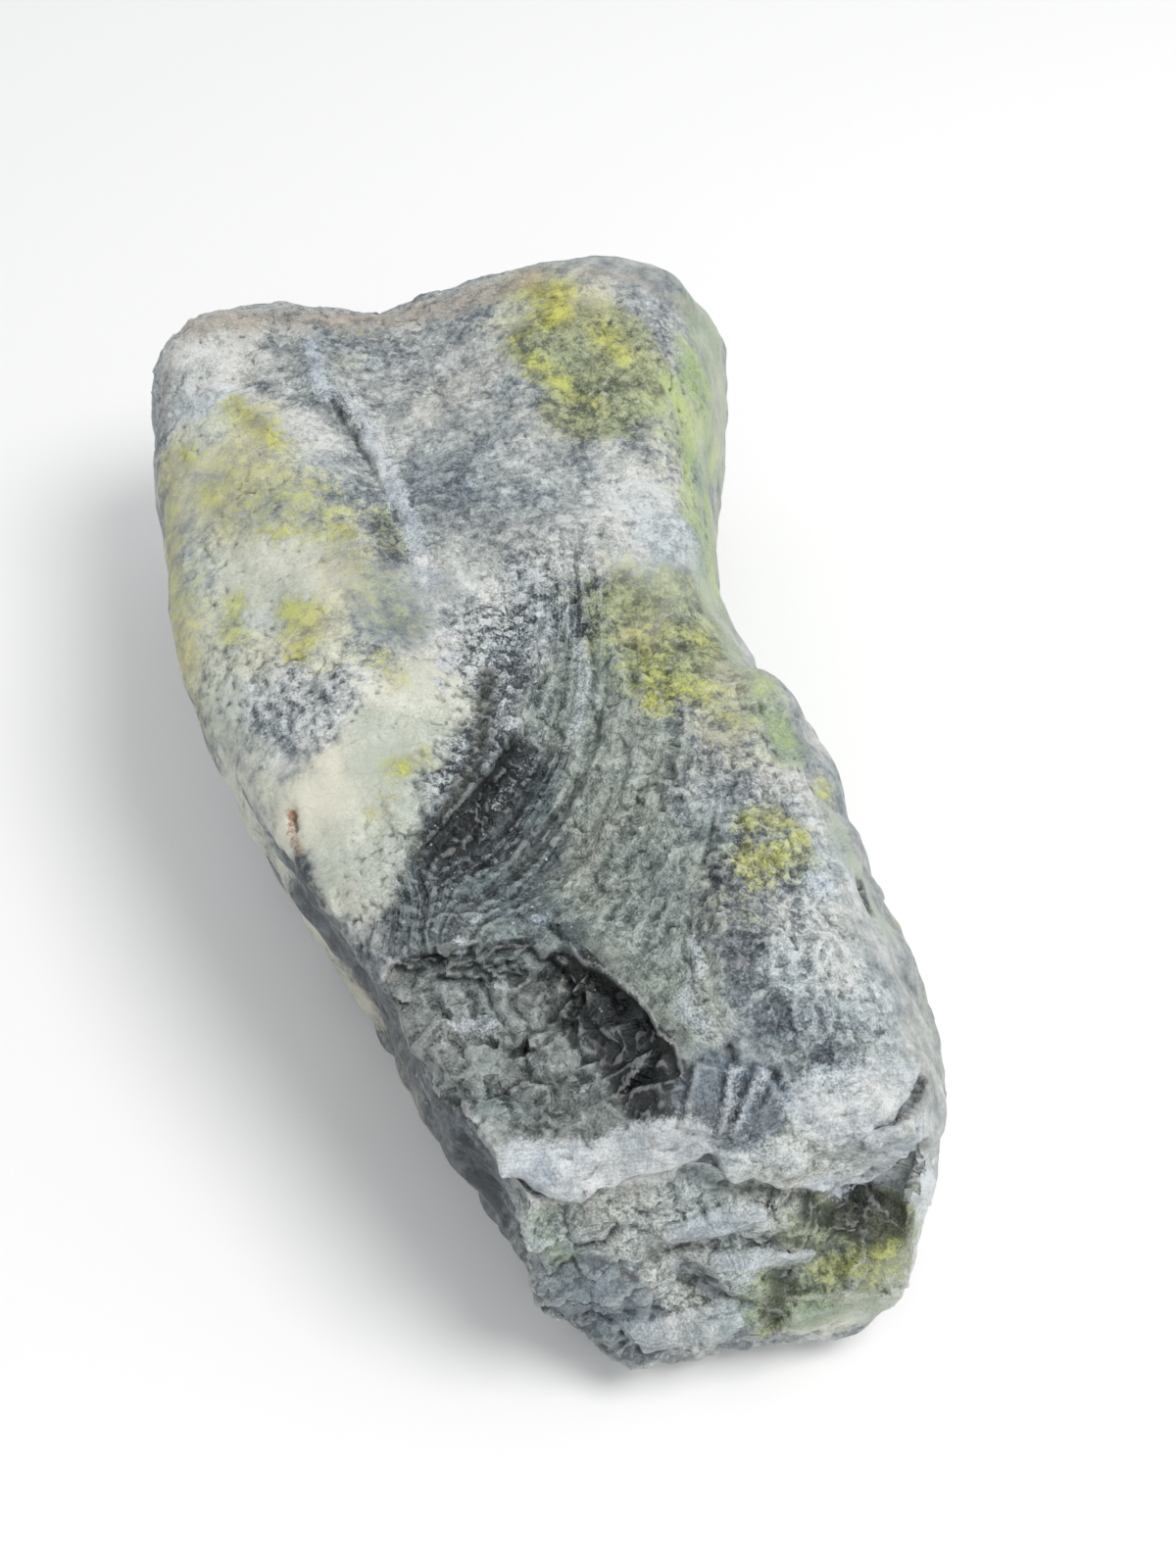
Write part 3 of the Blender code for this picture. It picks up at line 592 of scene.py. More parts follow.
# The flat layout of the skin, in a square of this many millimetres: the way each part of it faces, the axes that run
# across and up it, its scale and its corner.
LAYOUT = 322.0
LEAST = (-63.0, -111.6, 0.0)
CHARTS = {
    "top": ((0, 0, 1.1), 0, 1, 1.0, (2, 2)),
    "near": ((0, -1, 0), 0, 2, 1.0, (2, 229)),
    "far": ((0, 1, 0), 0, 2, 1.0, (132, 229)),
    "left": ((-1, 0, 0), 2, 1, 0.8, (131, 2)),
    "right": ((1, 0, 0), 2, 1, 0.8, (191, 2)),
    "under": ((0, 0, -1), 0, 1, 0.5, (252, 2)),
}


def ramp(values):
    """0 below 0, 1 above 1, and smooth between."""
    t = np.clip(values, 0, 1)
    return t * t * (3 - 2 * t)


def read(items, name, width, kind=np.float64):
    """One property of all items of a mesh, as an array."""
    found = np.empty(len(items) * width, kind)
    items.foreach_get(name, found)
    return found.reshape(-1, width) if width > 1 else found


def noise_at(places, size, octaves=3):
    """Smooth noise of about -1 to 1 at each place, with lumps of the given size."""
    return np.array([noise.fractal(Vector(p), 1.0, 2.0, octaves) for p in places / size])


def wander(places, size):
    """A smooth vector of about -1 to 1 each way at each place."""
    return np.array([noise.noise_vector(Vector(p)) for p in places / size])


def facets_at(places, size, broad):
    """The height, about -1 to 1, of a skin broken into flat facets that lie along broad lumps."""
    heights = np.empty(len(places))
    finer = size / broad
    probes = [Vector((0.02, 0, 0)), Vector((0, 0.02, 0)), Vector((0, 0, 0.02))]
    for i, p in enumerate(places / size):
        p = Vector(p)
        middle = noise.voronoi(p)[1][0]
        lump = middle * finer
        height = noise.noise(lump)
        slope = Vector([noise.noise(lump + probe) - height for probe in probes]) / 0.02 * finer
        chance = noise.cell_vector(middle) - Vector((0.5, 0.5, 0.5))
        heights[i] = height + (slope + 1.5 * chance).dot(p - middle) + 0.35 * chance.x
    return heights


# The camera and what it sees of the stone.
BACK = Vector((
    math.sin(CAMERA_AZIMUTH) * math.cos(CAMERA_ELEVATION),
    -math.cos(CAMERA_AZIMUTH) * math.cos(CAMERA_ELEVATION),
    math.sin(CAMERA_ELEVATION),
))
EYE = CAMERA_TARGET + BACK * CAMERA_DISTANCE


def sight(pixel):
    """The direction in which the camera sees a pixel of the photograph."""
    turn = BACK.to_track_quat("Z", "Y")
    focal = LENS / SENSOR * PHOTO_HEIGHT
    right = (pixel[0] - PHOTO_WIDTH / 2) / focal
    down = (pixel[1] - PHOTO_HEIGHT / 2) / focal
    return (turn @ Vector((right, -down, -1))).normalized()


class Skin:
    """The stone's skin as it stands, which pixels are cast onto."""

    def __init__(self, mesh):
        places = read(mesh.vertices, "co", 3) / MM
        corners = read(mesh.loops, "vertex_index", 1, np.int32)
        starts = read(mesh.polygons, "loop_start", 1, np.int32)
        self.tree = BVHTree.FromPolygons(places.tolist(), np.split(corners, starts[1:]))

    def line(self, points, every=5.0):
        """Places on the skin along a line of pixels, or of places near it on the sides that the photograph hides."""
        found = []
        for a, b in zip(points, points[1:] or points):
            steps = max(int(math.dist(a, b) / every), 1)
            for share in np.arange(steps + (b == points[-1])) / steps:
                point = [p + (q - p) * share for p, q in zip(a, b)]
                if len(point) == 3:
                    hit = self.tree.find_nearest(Vector(point))[0]
                else:
                    hit = self.tree.ray_cast(EYE, sight(point))[0]
                if hit is None:
                    print("a pixel misses the stone:", point)
                    continue
                found.append(hit)
        return np.array(found)


def off(places, line):
    """For each place: how far it is from a line, which way that is, and the line's direction there."""
    nearest = np.full(len(places), np.inf)
    away, along = np.zeros((len(places), 3)), np.zeros((len(places), 3))
    for a, b in zip(line, line[1:] if len(line) > 1 else line):
        run = b - a
        share = np.clip((places - a) @ run / max(run @ run, 1e-9), 0, 1)
        gap = places - a - share[:, None] * run
        distance = np.linalg.norm(gap, axis=1)
        closer = distance < nearest
        nearest[closer], away[closer] = distance[closer], gap[closer]
        along[closer] = run / max(np.linalg.norm(run), 1e-9)
    return nearest, away, along


def near_line(places, line, reach):
    """Which places a line could reach."""
    return np.flatnonzero(((places > line.min(0) - reach) & (places < line.max(0) + reach)).all(1))


def coverage(places, skin, strokes, soft):
    """How much of the skin a mineral covers at each place: the strongest of its strokes, which fade over soft."""
    covered = np.zeros(len(places))
    for radius, strength, pixels in strokes.values():
        line = skin.line(pixels)
        at = near_line(places, line, radius + soft)
        distance = off(places[at], line)[0]
        share = strength * ramp((radius - distance) / (2 * soft) + 0.5)
        covered[at] = np.maximum(covered[at], share)
    return covered


def grain_across(places, normals, skin):
    """How far across the grain each place is: over the top by the grain lines, on the walls by the layers."""
    knots, values = [], []
    for across, pixels in GRAIN_LINES.values():
        line = skin.line(pixels, every=25.0)
        knots += [p[:2] for p in line]
        values += [across] * len(line)
    knots = np.array(knots)

    def basis(plan):
        squared = ((plan[:, None] - knots[None]) ** 2).sum(2)
        return squared * np.log(squared + 1e-6) / 2

    count = len(knots)
    flat = np.hstack([np.ones((count, 1)), knots])
    system = np.zeros((count + 3, count + 3))
    system[:count, :count] = basis(knots) + 20.0 * np.eye(count)
    system[:count, count:], system[count:, :count] = flat, flat.T
    weights = np.linalg.solve(system, np.concatenate([values, np.zeros(3)]))
    plan = places[:, :2]
    top = np.concatenate([basis(part) @ weights[:count] for part in np.array_split(plan, 16)])
    top += np.hstack([np.ones((len(plan), 1)), plan]) @ weights[count:]
    up = ramp((normals[:, 2] - 0.25) / 0.4)
    across = top * up + (places @ BEDDING_LEAN) * (1 - up)
    for radius, lean, pixels in GRAIN_TURNS.values():
        line = skin.line(pixels)
        at = near_line(places, line, radius + 4)
        turned = 1 - ramp((off(places[at], line)[0] - radius) / 4 + 0.5)
        across[at] += (places[at] @ np.array(lean) - across[at]) * turned
    return across


def fine_skin(node):
    """The CAD stone's form as a fine, even and smooth mesh of the same size."""
    fine = bpy.data.objects.new("soapstone", node.data.copy())
    bpy.context.scene.collection.objects.link(fine)
    fine.data.materials.clear()
    remesh = fine.modifiers.new("fine", "REMESH")
    remesh.mode = "VOXEL"
    remesh.voxel_size = VOXEL * MM
    keep_modified(fine)
    mesh = fine.data
    places = read(mesh.vertices, "co", 3) / MM
    edges = read(mesh.edges, "vertices", 2, np.int32)
    resting = places[:, 2] < 0.5
    for _ in range(SMOOTHING_ROUNDS):
        for pull in (0.60, -0.62):
            moved = places + pull * (mean_of_neighbours(places, edges) - places)
            moved[resting, 2] = 0
            places = moved
    write_places(mesh, places)
    return fine


def mean_of_neighbours(values, edges):
    """Each vertex's value as the mean of its neighbours' values."""
    count = np.bincount(edges.ravel(), minlength=len(values))
    total = np.stack([
        np.bincount(edges[:, 0], v[edges[:, 1]], len(values)) + np.bincount(edges[:, 1], v[edges[:, 0]], len(values))
        for v in values.T
    ], axis=1)
    return total / count[:, None]


def write_places(mesh, places):
    mesh.vertices.foreach_set("co", (places * MM).ravel())
    mesh.update()


def keep_modified(obj):
    """Keeps what the modifiers make as the object's own mesh."""
    graph = bpy.context.evaluated_depsgraph_get()
    obj.data = bpy.data.meshes.new_from_object(obj.evaluated_get(graph), depsgraph=graph)
    obj.modifiers.clear()


def carve(stone):
    """Gives the skin its relief: steps, layers, cracks and slabs, then facets, ridges along the grain and pits."""
    mesh = stone.data
    skin = Skin(mesh)
    places = read(mesh.vertices, "co", 3) / MM
    normals = read(mesh.vertices, "normal", 3)
    swollen = np.zeros(len(places))
    for much, radius, pixels in SWELLS.values():
        line = skin.line(pixels)
        at = near_line(places, line, radius)
        swollen[at] += much * ramp(1 - off(places[at], line)[0] / radius)
    swollen[places[:, 2] < 0.5] = 0
    write_places(mesh, places + normals * swollen[:, None])
    skin = Skin(mesh)
    places = read(mesh.vertices, "co", 3) / MM
    normals = read(mesh.vertices, "normal", 3)
    uneven = noise_at(places, 9.0, 3)
    warped = places + 1.6 * wander(places, 8.0) + 0.7 * wander(places + 50, 3.0)
    slightly = places + 0.6 * wander(places, 5.0) + 0.3 * wander(places + 50, 1.8)
    barely = places + 0.3 * wander(places, 5.0)
    out = np.zeros(len(places))
    for drop, fade, pixels in STEPS.values():
        line = skin.line(pixels)
        at = near_line(places, line, 2.5 * fade)
        distance, right, beyond = sides(slightly[at], normals[at], line)
        drop = drop * (1 + 0.8 * uneven[at])
        out[at] -= drop * ramp(right / 1.0 + 0.5) * np.exp(-((distance / fade) ** 2)) * beyond
    for spacing, depth, reach, pixels in TERRACES.values():
        line = skin.line(pixels)
        at = near_line(places, line, reach)
        distance, right, beyond = sides(slightly[at], normals[at], line)
        layer = right / spacing + 0.35 * uneven[at]
        share = layer - np.floor(layer)
        rise = share - ramp((share - 0.8) / 0.2) - 0.4
        out[at] += depth * rise * (right > 0) * (1 - ramp((distance / reach - 0.6) / 0.4)) * beyond
    for half_width, depth, pixels in CRACKS.values():
        line = skin.line(pixels)
        at = near_line(places, line, 4 * half_width)
        distance = off(slightly[at], line)[0]
        out[at] -= depth * (1 + 0.6 * uneven[at]) * np.exp(-((distance / half_width) ** 2))
    slab, height = slabs(barely, normals, skin, SLABS)
    plank, rise = slabs(barely, normals, skin, PLANKS)
    slab = np.maximum(slab, plank)
    out = out * (1 - 0.7 * slab) + height + rise
    kept = (1 - 0.8 * slab) * (1 - coverage(slightly, skin, CALM, 3.0))
    broken = coverage(warped, skin, BROKEN, 5.0) * kept
    at = np.flatnonzero(broken > 0.02)
    out[at] += 2.6 * broken[at] * facets_at(barely[at], 6.0, 14.0)
    flowing = coverage(warped, skin, FLOWING, 7.0) * kept
    at = np.flatnonzero(flowing > 0.02)
    across = grain_across(places[at], normals[at], skin)
    for strength, length, width in ((0.75, 28.0, 3.6), (0.42, 18.0, 1.6)):
        streaked = places[at] / length + across[:, None] / width * GRAIN_SLANT
        out[at] += strength * flowing[at] * (0.5 - 2 * np.abs(noise_at(streaked, 1.0, 2)))
    fresh = coverage(warped, skin, FRESH, 7.0)
    finest = fresh > 0.3
    fresh *= kept
    out += 0.12 * noise_at(places, 2.6, 3) + 0.16 * (1 - fresh) * noise_at(places, 7.0, 2)
    at = np.flatnonzero(fresh > 0.02)
    out[at] += 0.95 * fresh[at] * facets_at(barely[at], 2.8, 7.0)
    speckled = coverage(warped, skin, SPECKLED, 5.0)
    out -= 0.5 * speckled * ramp((noise_at(places + 30, 2.0, 2) - 0.15) / 0.25)
    out *= ramp(places[:, 2] / FLAT_TO_Z)
    low, high = (np.array(corner) / MM for corner in CAD_BOX)
    write_places(mesh, np.clip(places + normals * out[:, None], low, high))
    thinned = stone.vertex_groups.new(name="thinned")
    thinned.add(np.flatnonzero(~finest).tolist(), 1.0, "REPLACE")


def slabs(places, normals, skin, items):
    """Which places are on a slab, and how far it stands out there."""
    on, out = np.zeros(len(places)), np.zeros(len(places))
    for half_width, height, pixels in items.values():
        line = skin.line(pixels)
        at = near_line(places, line, 3 * half_width)
        distance, right, beyond = sides(places[at], normals[at], line)
        share = (1 - ramp((np.abs(right) / half_width - 0.85) / 0.3)) * beyond * (distance < 1.5 * half_width)
        on[at] = np.maximum(on[at], share)
        out[at] += height * share * (1 - 0.35 * right / half_width)
    return on, out


def sides(places, normals, line):
    """For each place: how far it is from a line, how far to its right, and 0 beyond the line's ends."""
    distance, away, along = off(places, line)
    right = (away * np.cross(along, normals)).sum(1)
    return distance, right, 1 - ramp((np.abs((away * along).sum(1)) - 0.3) / 1.2)


def thin(stone):
    """Thins the skin down to its triangles, mostly where it is worn smooth."""
    decimate = stone.modifiers.new("thin", "DECIMATE")
    triangles = sum(len(p.vertices) - 2 for p in stone.data.polygons)
    decimate.ratio = min(1.0, MOST_TRIANGLES / triangles)
    decimate.vertex_group = "thinned"
    keep_modified(stone)
    stone.vertex_groups.clear()


def lay_minerals(stone):
    """Writes where each mineral lies, the grain, the lift in tone with its painted shade, and how far each place
    stands out, for painted highlights and shade, as values on the skin's points.
    """
    mesh = stone.data
    skin = Skin(mesh)
    places = read(mesh.vertices, "co", 3) / MM
    normals = read(mesh.vertices, "normal", 3)
    edges = read(mesh.edges, "vertices", 2, np.int32)
    warped = places + 2.0 * wander(places, 9.0) + 1.0 * wander(places + 50, 3.5)
    slightly = places + 0.6 * wander(places, 3.0)
    for name, mineral in MINERALS.items():
        if name == "slab":
            continue
        shaken = warped if mineral["soft"] > 3 else slightly
        write_value(mesh, name, coverage(shaken, skin, mineral["strokes"], mineral["soft"]))
    write_value(mesh, "slab", slabs(places + 0.3 * wander(places, 5.0), normals, skin, SLABS)[0])
    write_value(mesh, "speckled", coverage(warped, skin, SPECKLED, 5.0))
    write_value(mesh, "fresh", coverage(warped, skin, FRESH, 7.0))
    write_value(mesh, "flowing", coverage(warped, skin, FLOWING, 7.0))
    lift = np.zeros(len(places))
    for radius, much, pixels in LIFTS.values():
        line = skin.line(pixels)
        soft = min(5.0, 1.5 + 0.5 * radius)
        at = near_line(places, line, radius + soft)
        lift[at] += much * ramp((radius - off(warped[at], line)[0]) / (2 * soft) + 0.5)
    hidden = 1 - ramp((normals @ np.array(BACK) + 0.1) / 0.35)
    lift += hidden * 0.22 * noise_at(places + 90, 34.0, 2)
    # Painted shade, partly the wall's darker colour: the left wall, which faces away from the light, is darkened.
    lift -= WALL_DARK_AND_SHADED * ramp((-normals[:, 0] - 0.25) / 0.45) * ramp((WALL_SHADE_ENDS_AT - places[:, 1]) / 110)
    write_value(mesh, "lift", lift)
    smooth_normals = normals
    for _ in range(8):
        smooth_normals = mean_of_neighbours(smooth_normals, edges)
    write_value(mesh, "across", grain_across(places, smooth_normals, skin))
    # How far each place stands out of its neighbours or sinks below them: it paints highlights on ridges and shade in
    # hollows.
    near = places
    for _ in range(2):
        near = mean_of_neighbours(near, edges)
    relief_for_painted_light = ((places - near) * normals).sum(1)
    lengths = np.linalg.norm(places[edges[:, 0]] - places[edges[:, 1]], axis=1)
    spans = sum(np.bincount(edges[:, i], lengths, len(places)) for i in (0, 1))
    spans /= np.bincount(edges.ravel(), minlength=len(places))
    relief_for_painted_light *= np.minimum(1, (VOXEL / spans) ** 2)
    print("relief_for_painted_light", np.percentile(relief_for_painted_light, [1, 5, 25, 50, 75, 95, 99]))
    write_value(mesh, "relief_for_painted_light", relief_for_painted_light)


def write_value(mesh, name, values):
    attribute = mesh.attributes.new(name, "FLOAT", "POINT")
    attribute.data.foreach_set("value", values.astype(np.float32))


def lay_flat(stone):
    """Lays the skin out flat for its texture, seen from six sides."""
    mesh = stone.data
    places = read(mesh.vertices, "co", 3) / MM
    edges = read(mesh.edges, "vertices", 2, np.int32)
    normals = read(mesh.vertices, "normal", 3)
    for _ in range(20):
        normals = mean_of_neighbours(normals, edges)
    corners = read(mesh.loops, "vertex_index", 1, np.int32)
    counts = read(mesh.polygons, "loop_total", 1, np.int32)
    owner = np.repeat(np.arange(len(counts)), counts)
    facing = np.stack([np.bincount(owner, n[corners]) for n in normals.T], axis=1)
    own = read(mesh.polygons, "normal", 3)
    ways = np.array([chart[0] for chart in CHARTS.values()])
    chosen = (facing @ ways.T).argmax(1)
    edge_on = (own * ways[chosen]).sum(1) < 0.03
    chosen[edge_on] = (own[edge_on] @ ways.T).argmax(1)
    flat = np.empty((len(corners), 2))
    for i, (_, u, v, scale, corner) in enumerate(CHARTS.values()):
        at = chosen[owner] == i
        seen = places[corners[at]][:, [u, v]] - np.array([LEAST[u], LEAST[v]])
        flat[at] = (seen * scale + corner) / LAYOUT
    layer = mesh.uv_layers.new(name="OFBake")
    layer.data.foreach_set("uv", flat.astype(np.float32).ravel())


def colour(srgb):
    """An sRGB colour of three numbers up to 255, as Blender's linear colour."""
    shares = np.array(srgb) / 255
    return (*np.where(shares <= 0.04045, shares / 12.92, ((shares + 0.055) / 1.055) ** 2.4), 1.0)


class Nodes:
    """Short forms for a material's nodes. An input is a number, a colour or another node's output."""

    def __init__(self, material):
        material.use_nodes = True
        self.tree = material.node_tree

    def add(self, kind, inputs, output=0, **settings):
        node = self.tree.nodes.new("ShaderNode" + kind)
        for name, value in settings.items():
            setattr(node, name, value)
        for name, value in inputs.items():
            if isinstance(value, bpy.types.NodeSocket):
                self.tree.links.new(value, node.inputs[name])
            else:
                node.inputs[name].default_value = value
        return node.outputs[output]

    def math(self, operation, a, b=0.0):
        return self.add("Math", {0: a, 1: b}, operation=operation)

    def times(self, vector, factor):
        return self.add("VectorMath", {0: vector, "Scale": factor}, operation="SCALE")

    def value(self, name):
        return self.add("Attribute", {}, output="Fac", attribute_name=name)

    def ramp(self, value, low, high):
        return self.add("MapRange", {0: value, 1: low, 2: high}, interpolation_type="SMOOTHSTEP")

    def mix(self, share, a, b, way="MIX"):
        return self.add("Mix", {0: share, 6: a, 7: b}, output=2, data_type="RGBA", blend_type=way)

    def tones(self, value, tones):
        """The colour that a value has on a scale of tones."""
        scale = self.tree.nodes.new("ShaderNodeValToRGB")
        for place, tone in list(tones.items())[1:-1]:
            scale.color_ramp.elements.new(place)
        for element, (place, tone) in zip(scale.color_ramp.elements, tones.items()):
            element.position, element.color = place, colour(tone)
        self.tree.links.new(value, scale.inputs[0])
        return scale.outputs[0]

    def blend(self, share, a, b):
        return self.add("Mix", {0: share, 2: a, 3: b}, output=0, data_type="FLOAT")

    def noise(self, vector, size, detail=3.0, rough=0.55, contrast=1.0):
        inputs = {"Vector": vector, "Scale": 1 / size, "Detail": detail, "Roughness": rough}
        found = self.add("TexNoise", inputs)
        return self.add("MapRange", {0: found, 1: 0.5 - 0.5 / contrast, 2: 0.5 + 0.5 / contrast})

    def total(self, textures, shares):
        """The textures added up by their shares."""
        found = None
        for name, share in shares.items():
            part = self.math("MULTIPLY", textures[name], share)
            found = part if found is None else self.math("ADD", found, part)
        return found


def textures_of(nodes):
    """The patterns that the minerals share, each from 0 to 1 and half as a mean."""
    place = nodes.times(nodes.add("TexCoord", {}, output="Object"), 1 / MM)
    across = nodes.value("across")
    fresh = nodes.value("fresh")

    def along_grain(length, width):
        shift = nodes.times(tuple(GRAIN_SLANT), nodes.math("MULTIPLY", across, 1 / width))
        return nodes.add("VectorMath", {0: nodes.times(place, 1 / length), 1: shift}, operation="ADD")

    def damped(texture, share, least):
        """A texture with less contrast where the share is low."""
        share = nodes.math("ADD", nodes.math("MULTIPLY", share, 1 - least), least)
        part = nodes.math("MULTIPLY", nodes.math("SUBTRACT", texture, 0.5), share)
        return nodes.math("ADD", part, 0.5)

    wobble = nodes.add("TexNoise", {"Vector": place, "Scale": 1 / 2.4, "Detail": 2.0}, output="Color")

    def facets(size, shake):
        """A skin of flat facets: a tone for each, and a height that steps and tilts from each to the next."""
        shaken = nodes.add("VectorMath", {0: place, 1: nodes.times(wobble, shake)}, operation="ADD")
        cell = nodes.add("TexVoronoi", {"Vector": shaken, "Scale": 1 / size}).node
        reach = nodes.add("VectorMath", {0: shaken, 1: cell.outputs["Position"]}, operation="SUBTRACT")
        slope = nodes.add("VectorMath", {0: cell.outputs["Color"], 1: (0.5, 0.5, 0.5)}, operation="SUBTRACT")
        tilt = nodes.add("VectorMath", {0: reach, 1: slope}, output="Value", operation="DOT_PRODUCT")
        tone = nodes.add("SeparateColor", {0: cell.outputs["Color"]})
        return tone, nodes.math("ADD", tilt, nodes.math("MULTIPLY", tone, 0.10 * size))

    rift = nodes.add("TexNoise", {"Vector": place, "Scale": 1 / 4.0, "Detail": 4.0, "Roughness": 0.65})
    rift = nodes.math("ABSOLUTE", nodes.math("SUBTRACT", rift, 0.5))
    plate, plate_height = facets(3.4, 2.6)
    chip, chip_height = facets(1.2, 1.5)
    return {
        "cloud": nodes.noise(place, 15.0, 1.0, 0.5, 2.4),
        "mottle": nodes.noise(place, 5.0, 3.0, 0.7, 2.2),
        "fleck": nodes.noise(place, 1.4, 2.0, 0.75, 2.0),
        "grain": damped(nodes.noise(place, 0.42, 1.0, 0.6, 2.4), fresh, 0.5),
        "streak": damped(nodes.noise(along_grain(20.0, 1.5), 1.0, 3.0, 0.7, 2.4), nodes.value("flowing"), 0.2),
        "fibre": nodes.noise(along_grain(5.0, 0.4), 1.0, 1.0, 0.6, 2.6),
        "vein": nodes.math("MULTIPLY", nodes.ramp(rift, 0.018, 0.0), fresh),
        "plate": damped(plate, fresh, 0.3),
        "chip": damped(chip, fresh, 0.4),
        "plate_height": plate_height,
        "chip_height": chip_height,
    }


def soapstone():
    material = bpy.data.materials.new("soapstone")
    nodes = Nodes(material)
    textures = textures_of(nodes)
    surface = nodes.tree.nodes["Principled BSDF"]
    patches = nodes.math("SUBTRACT", nodes.total(textures, dict(cloud=0.3, mottle=0.7)), 0.5)
    specks = nodes.math("SUBTRACT", nodes.total(textures, dict(fleck=0.27, chip=0.32, grain=0.28, streak=0.13)), 0.5)
    strength = nodes.math("ADD", nodes.math("MULTIPLY", nodes.value("fresh"), 1.1), 0.35)
    strength = nodes.math("ADD", strength, nodes.value("speckled"))
    tone = nodes.math("ADD", nodes.math("MULTIPLY", specks, strength), nodes.math("MULTIPLY", patches, 0.62))
    lines = nodes.math("MULTIPLY", nodes.math("SUBTRACT", textures["streak"], 0.5), nodes.value("flowing"))
    tone = nodes.math("ADD", tone, nodes.math("MULTIPLY", lines, 0.9))
    tone = nodes.math("ADD", nodes.math("ADD", tone, nodes.value("lift")), GROUND_TONE)
    skin = nodes.tones(tone, GROUND)
    rough, bumpy, painted_glint_amount = 0.55, 0.6, 0.15
    for name, mineral in MINERALS.items():
        tone = nodes.total(textures, mineral["grain"])
        dark, light = mineral["tones"]
        shown = nodes.mix(nodes.ramp(tone, 0.26, 0.74), colour(dark), colour(light))
        lies = nodes.value(name)
        broken_up = nodes.math("SUBTRACT", nodes.total(textures, mineral["edge"]), 0.5)
        covered = nodes.math("ADD", lies, nodes.math("MULTIPLY", broken_up, mineral["spread"]))
        share = nodes.ramp(covered, 0.5 - mineral["crisp"], 0.5 + mineral["crisp"])
        share = nodes.math("MULTIPLY", share, nodes.ramp(lies, 0.02, 0.2))
        skin = nodes.mix(nodes.math("MULTIPLY", share, mineral["veil"]), skin, shown)
        rough = nodes.blend(share, rough, mineral["roughness"])
        bumpy = nodes.blend(share, bumpy, mineral["bump"])
        painted_glint_amount = nodes.blend(share, painted_glint_amount, mineral["painted_glints"])
    warm = nodes.math("SUBTRACT", textures["cloud"], nodes.math("MULTIPLY", nodes.value("fresh"), 0.35))
    skin = nodes.mix(1.0, skin, nodes.mix(nodes.math("ADD", warm, 0.15), (0.95, 1.0, 1.05, 1), (1.03, 1.0, 0.96, 1)), "MULTIPLY")
    # Painted glints: a few small dots in fresh broken skin are whitened, as if they caught the light.
    place = nodes.times(nodes.add("TexCoord", {}, output="Object"), 1 / MM)
    dots = {"Vector": place, "Scale": 1 / 1.3}
    chosen = nodes.ramp(nodes.add("SeparateColor", {0: nodes.add("TexVoronoi", dots, output="Color")}), 0.80, 0.86)
    dot = nodes.math("MULTIPLY", nodes.ramp(nodes.add("TexVoronoi", dots), 0.20, 0.10), chosen)
    painted_glint_dots = nodes.math("MULTIPLY", dot, nodes.math("MULTIPLY", painted_glint_amount, nodes.value("fresh")))
    skin = nodes.mix(painted_glint_dots, skin, colour((214, 216, 216)))
    skin = nodes.mix(nodes.math("MULTIPLY", textures["vein"], 0.3), skin, colour((48, 53, 54)))
    relief_for_painted_light = nodes.value("relief_for_painted_light")
    # Painted highlight: ridges and convex edges are lightened, standing also for bruised talc. Painted shade: hollows
    # are darkened, where shade falls.
    skin = nodes.mix(nodes.math("MULTIPLY", nodes.ramp(relief_for_painted_light, 0.04, 0.20), 0.25), skin, colour((209, 212, 211)))
    skin = nodes.mix(nodes.math("MULTIPLY", nodes.ramp(relief_for_painted_light, -0.04, -0.25), 0.6), skin, colour((43, 48, 48)))
    nodes.tree.links.new(skin, surface.inputs["Base Color"])
    nodes.tree.links.new(rough, surface.inputs["Roughness"])
    height = nodes.total(textures, BUMPS)
    bumpy = nodes.math("MULTIPLY", bumpy, nodes.math("ADD", nodes.math("MULTIPLY", nodes.value("fresh"), 0.7), 0.3))
    height = nodes.math("MULTIPLY", height, bumpy)
    bump = nodes.add("Bump", {"Height": height, "Distance": MM, "Strength": 1.0})
    nodes.tree.links.new(bump, surface.inputs["Normal"])
    return material


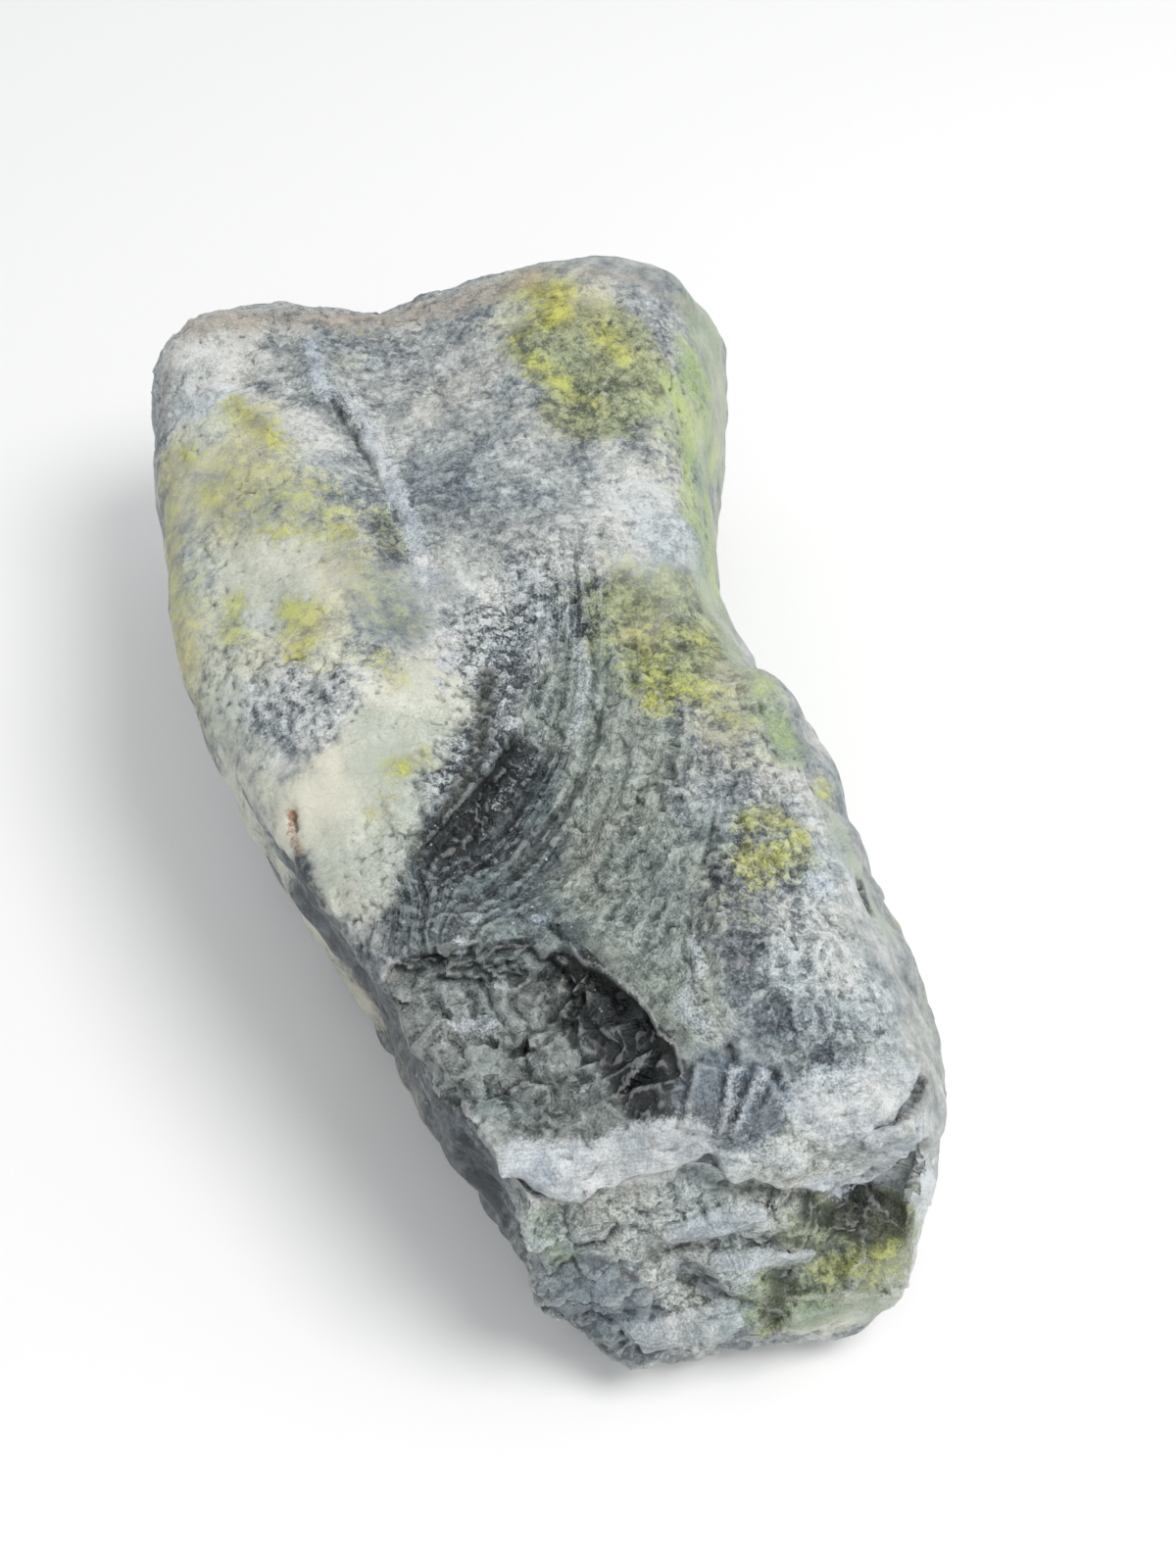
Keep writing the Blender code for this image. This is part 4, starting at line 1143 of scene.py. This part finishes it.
def make_camera():
    data = bpy.data.cameras.new("camera")
    data.lens, data.sensor_width = LENS, SENSOR
    data.clip_start, data.clip_end = 0.01, 20.0
    camera = bpy.data.objects.new("camera", data)
    camera.location = EYE * MM
    camera.rotation_euler = BACK.to_track_quat("Z", "Y").to_euler()
    bpy.context.scene.collection.objects.link(camera)
    bpy.context.scene.camera = camera


def make_light(name, place, size, power, colour):
    data = bpy.data.lights.new(name, "AREA")
    data.shape, data.size, data.energy, data.color = "DISK", size, power, colour
    light = bpy.data.objects.new(name, data)
    light.location = place
    light.rotation_euler = Vector(place).to_track_quat("Z", "Y").to_euler()
    bpy.context.scene.collection.objects.link(light)


def make_floor():
    bm = bmesh.new()
    bmesh.ops.create_grid(bm, x_segments=1, y_segments=1, size=3.0)
    mesh = bpy.data.meshes.new("floor")
    bm.to_mesh(mesh)
    bm.free()
    floor = bpy.data.objects.new("floor", mesh)
    floor.location.z = -0.0002
    bpy.context.scene.collection.objects.link(floor)
    material = bpy.data.materials.new("floor")
    material.use_nodes = True
    surface = material.node_tree.nodes["Principled BSDF"]
    surface.inputs["Base Color"].default_value = (0.92, 0.92, 0.915, 1)
    surface.inputs["Roughness"].default_value = 0.9
    mesh.materials.append(material)


def make_world():
    world = bpy.data.worlds.new("studio")
    world.use_nodes = True
    sky = world.node_tree.nodes["Background"]
    sky.inputs["Color"].default_value = (0.97, 0.985, 1.0, 1)
    sky.inputs["Strength"].default_value = 0.70
    bpy.context.scene.world = world


import time
t0 = time.time()
stone = fine_skin(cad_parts["soapstone_block"])
print("fine", len(stone.data.vertices), time.time() - t0)
carve(stone)
print("carved", time.time() - t0)
thin(stone)
print("thin", len(stone.data.polygons), time.time() - t0)
stone.data.shade_smooth()
stone.data.set_sharp_from_angle(angle=SHARPEST)
lay_minerals(stone)
lay_flat(stone)
print("minerals", time.time() - t0)
stone.data.materials.append(soapstone())
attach(stone, "root")
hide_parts("soapstone_block")
make_floor()
make_world()
make_light("key", (0.30, -0.26, 0.78), 0.40, 4.3, (1.0, 0.99, 0.97))
make_camera()
bpy.context.scene.view_settings.view_transform = "Standard"
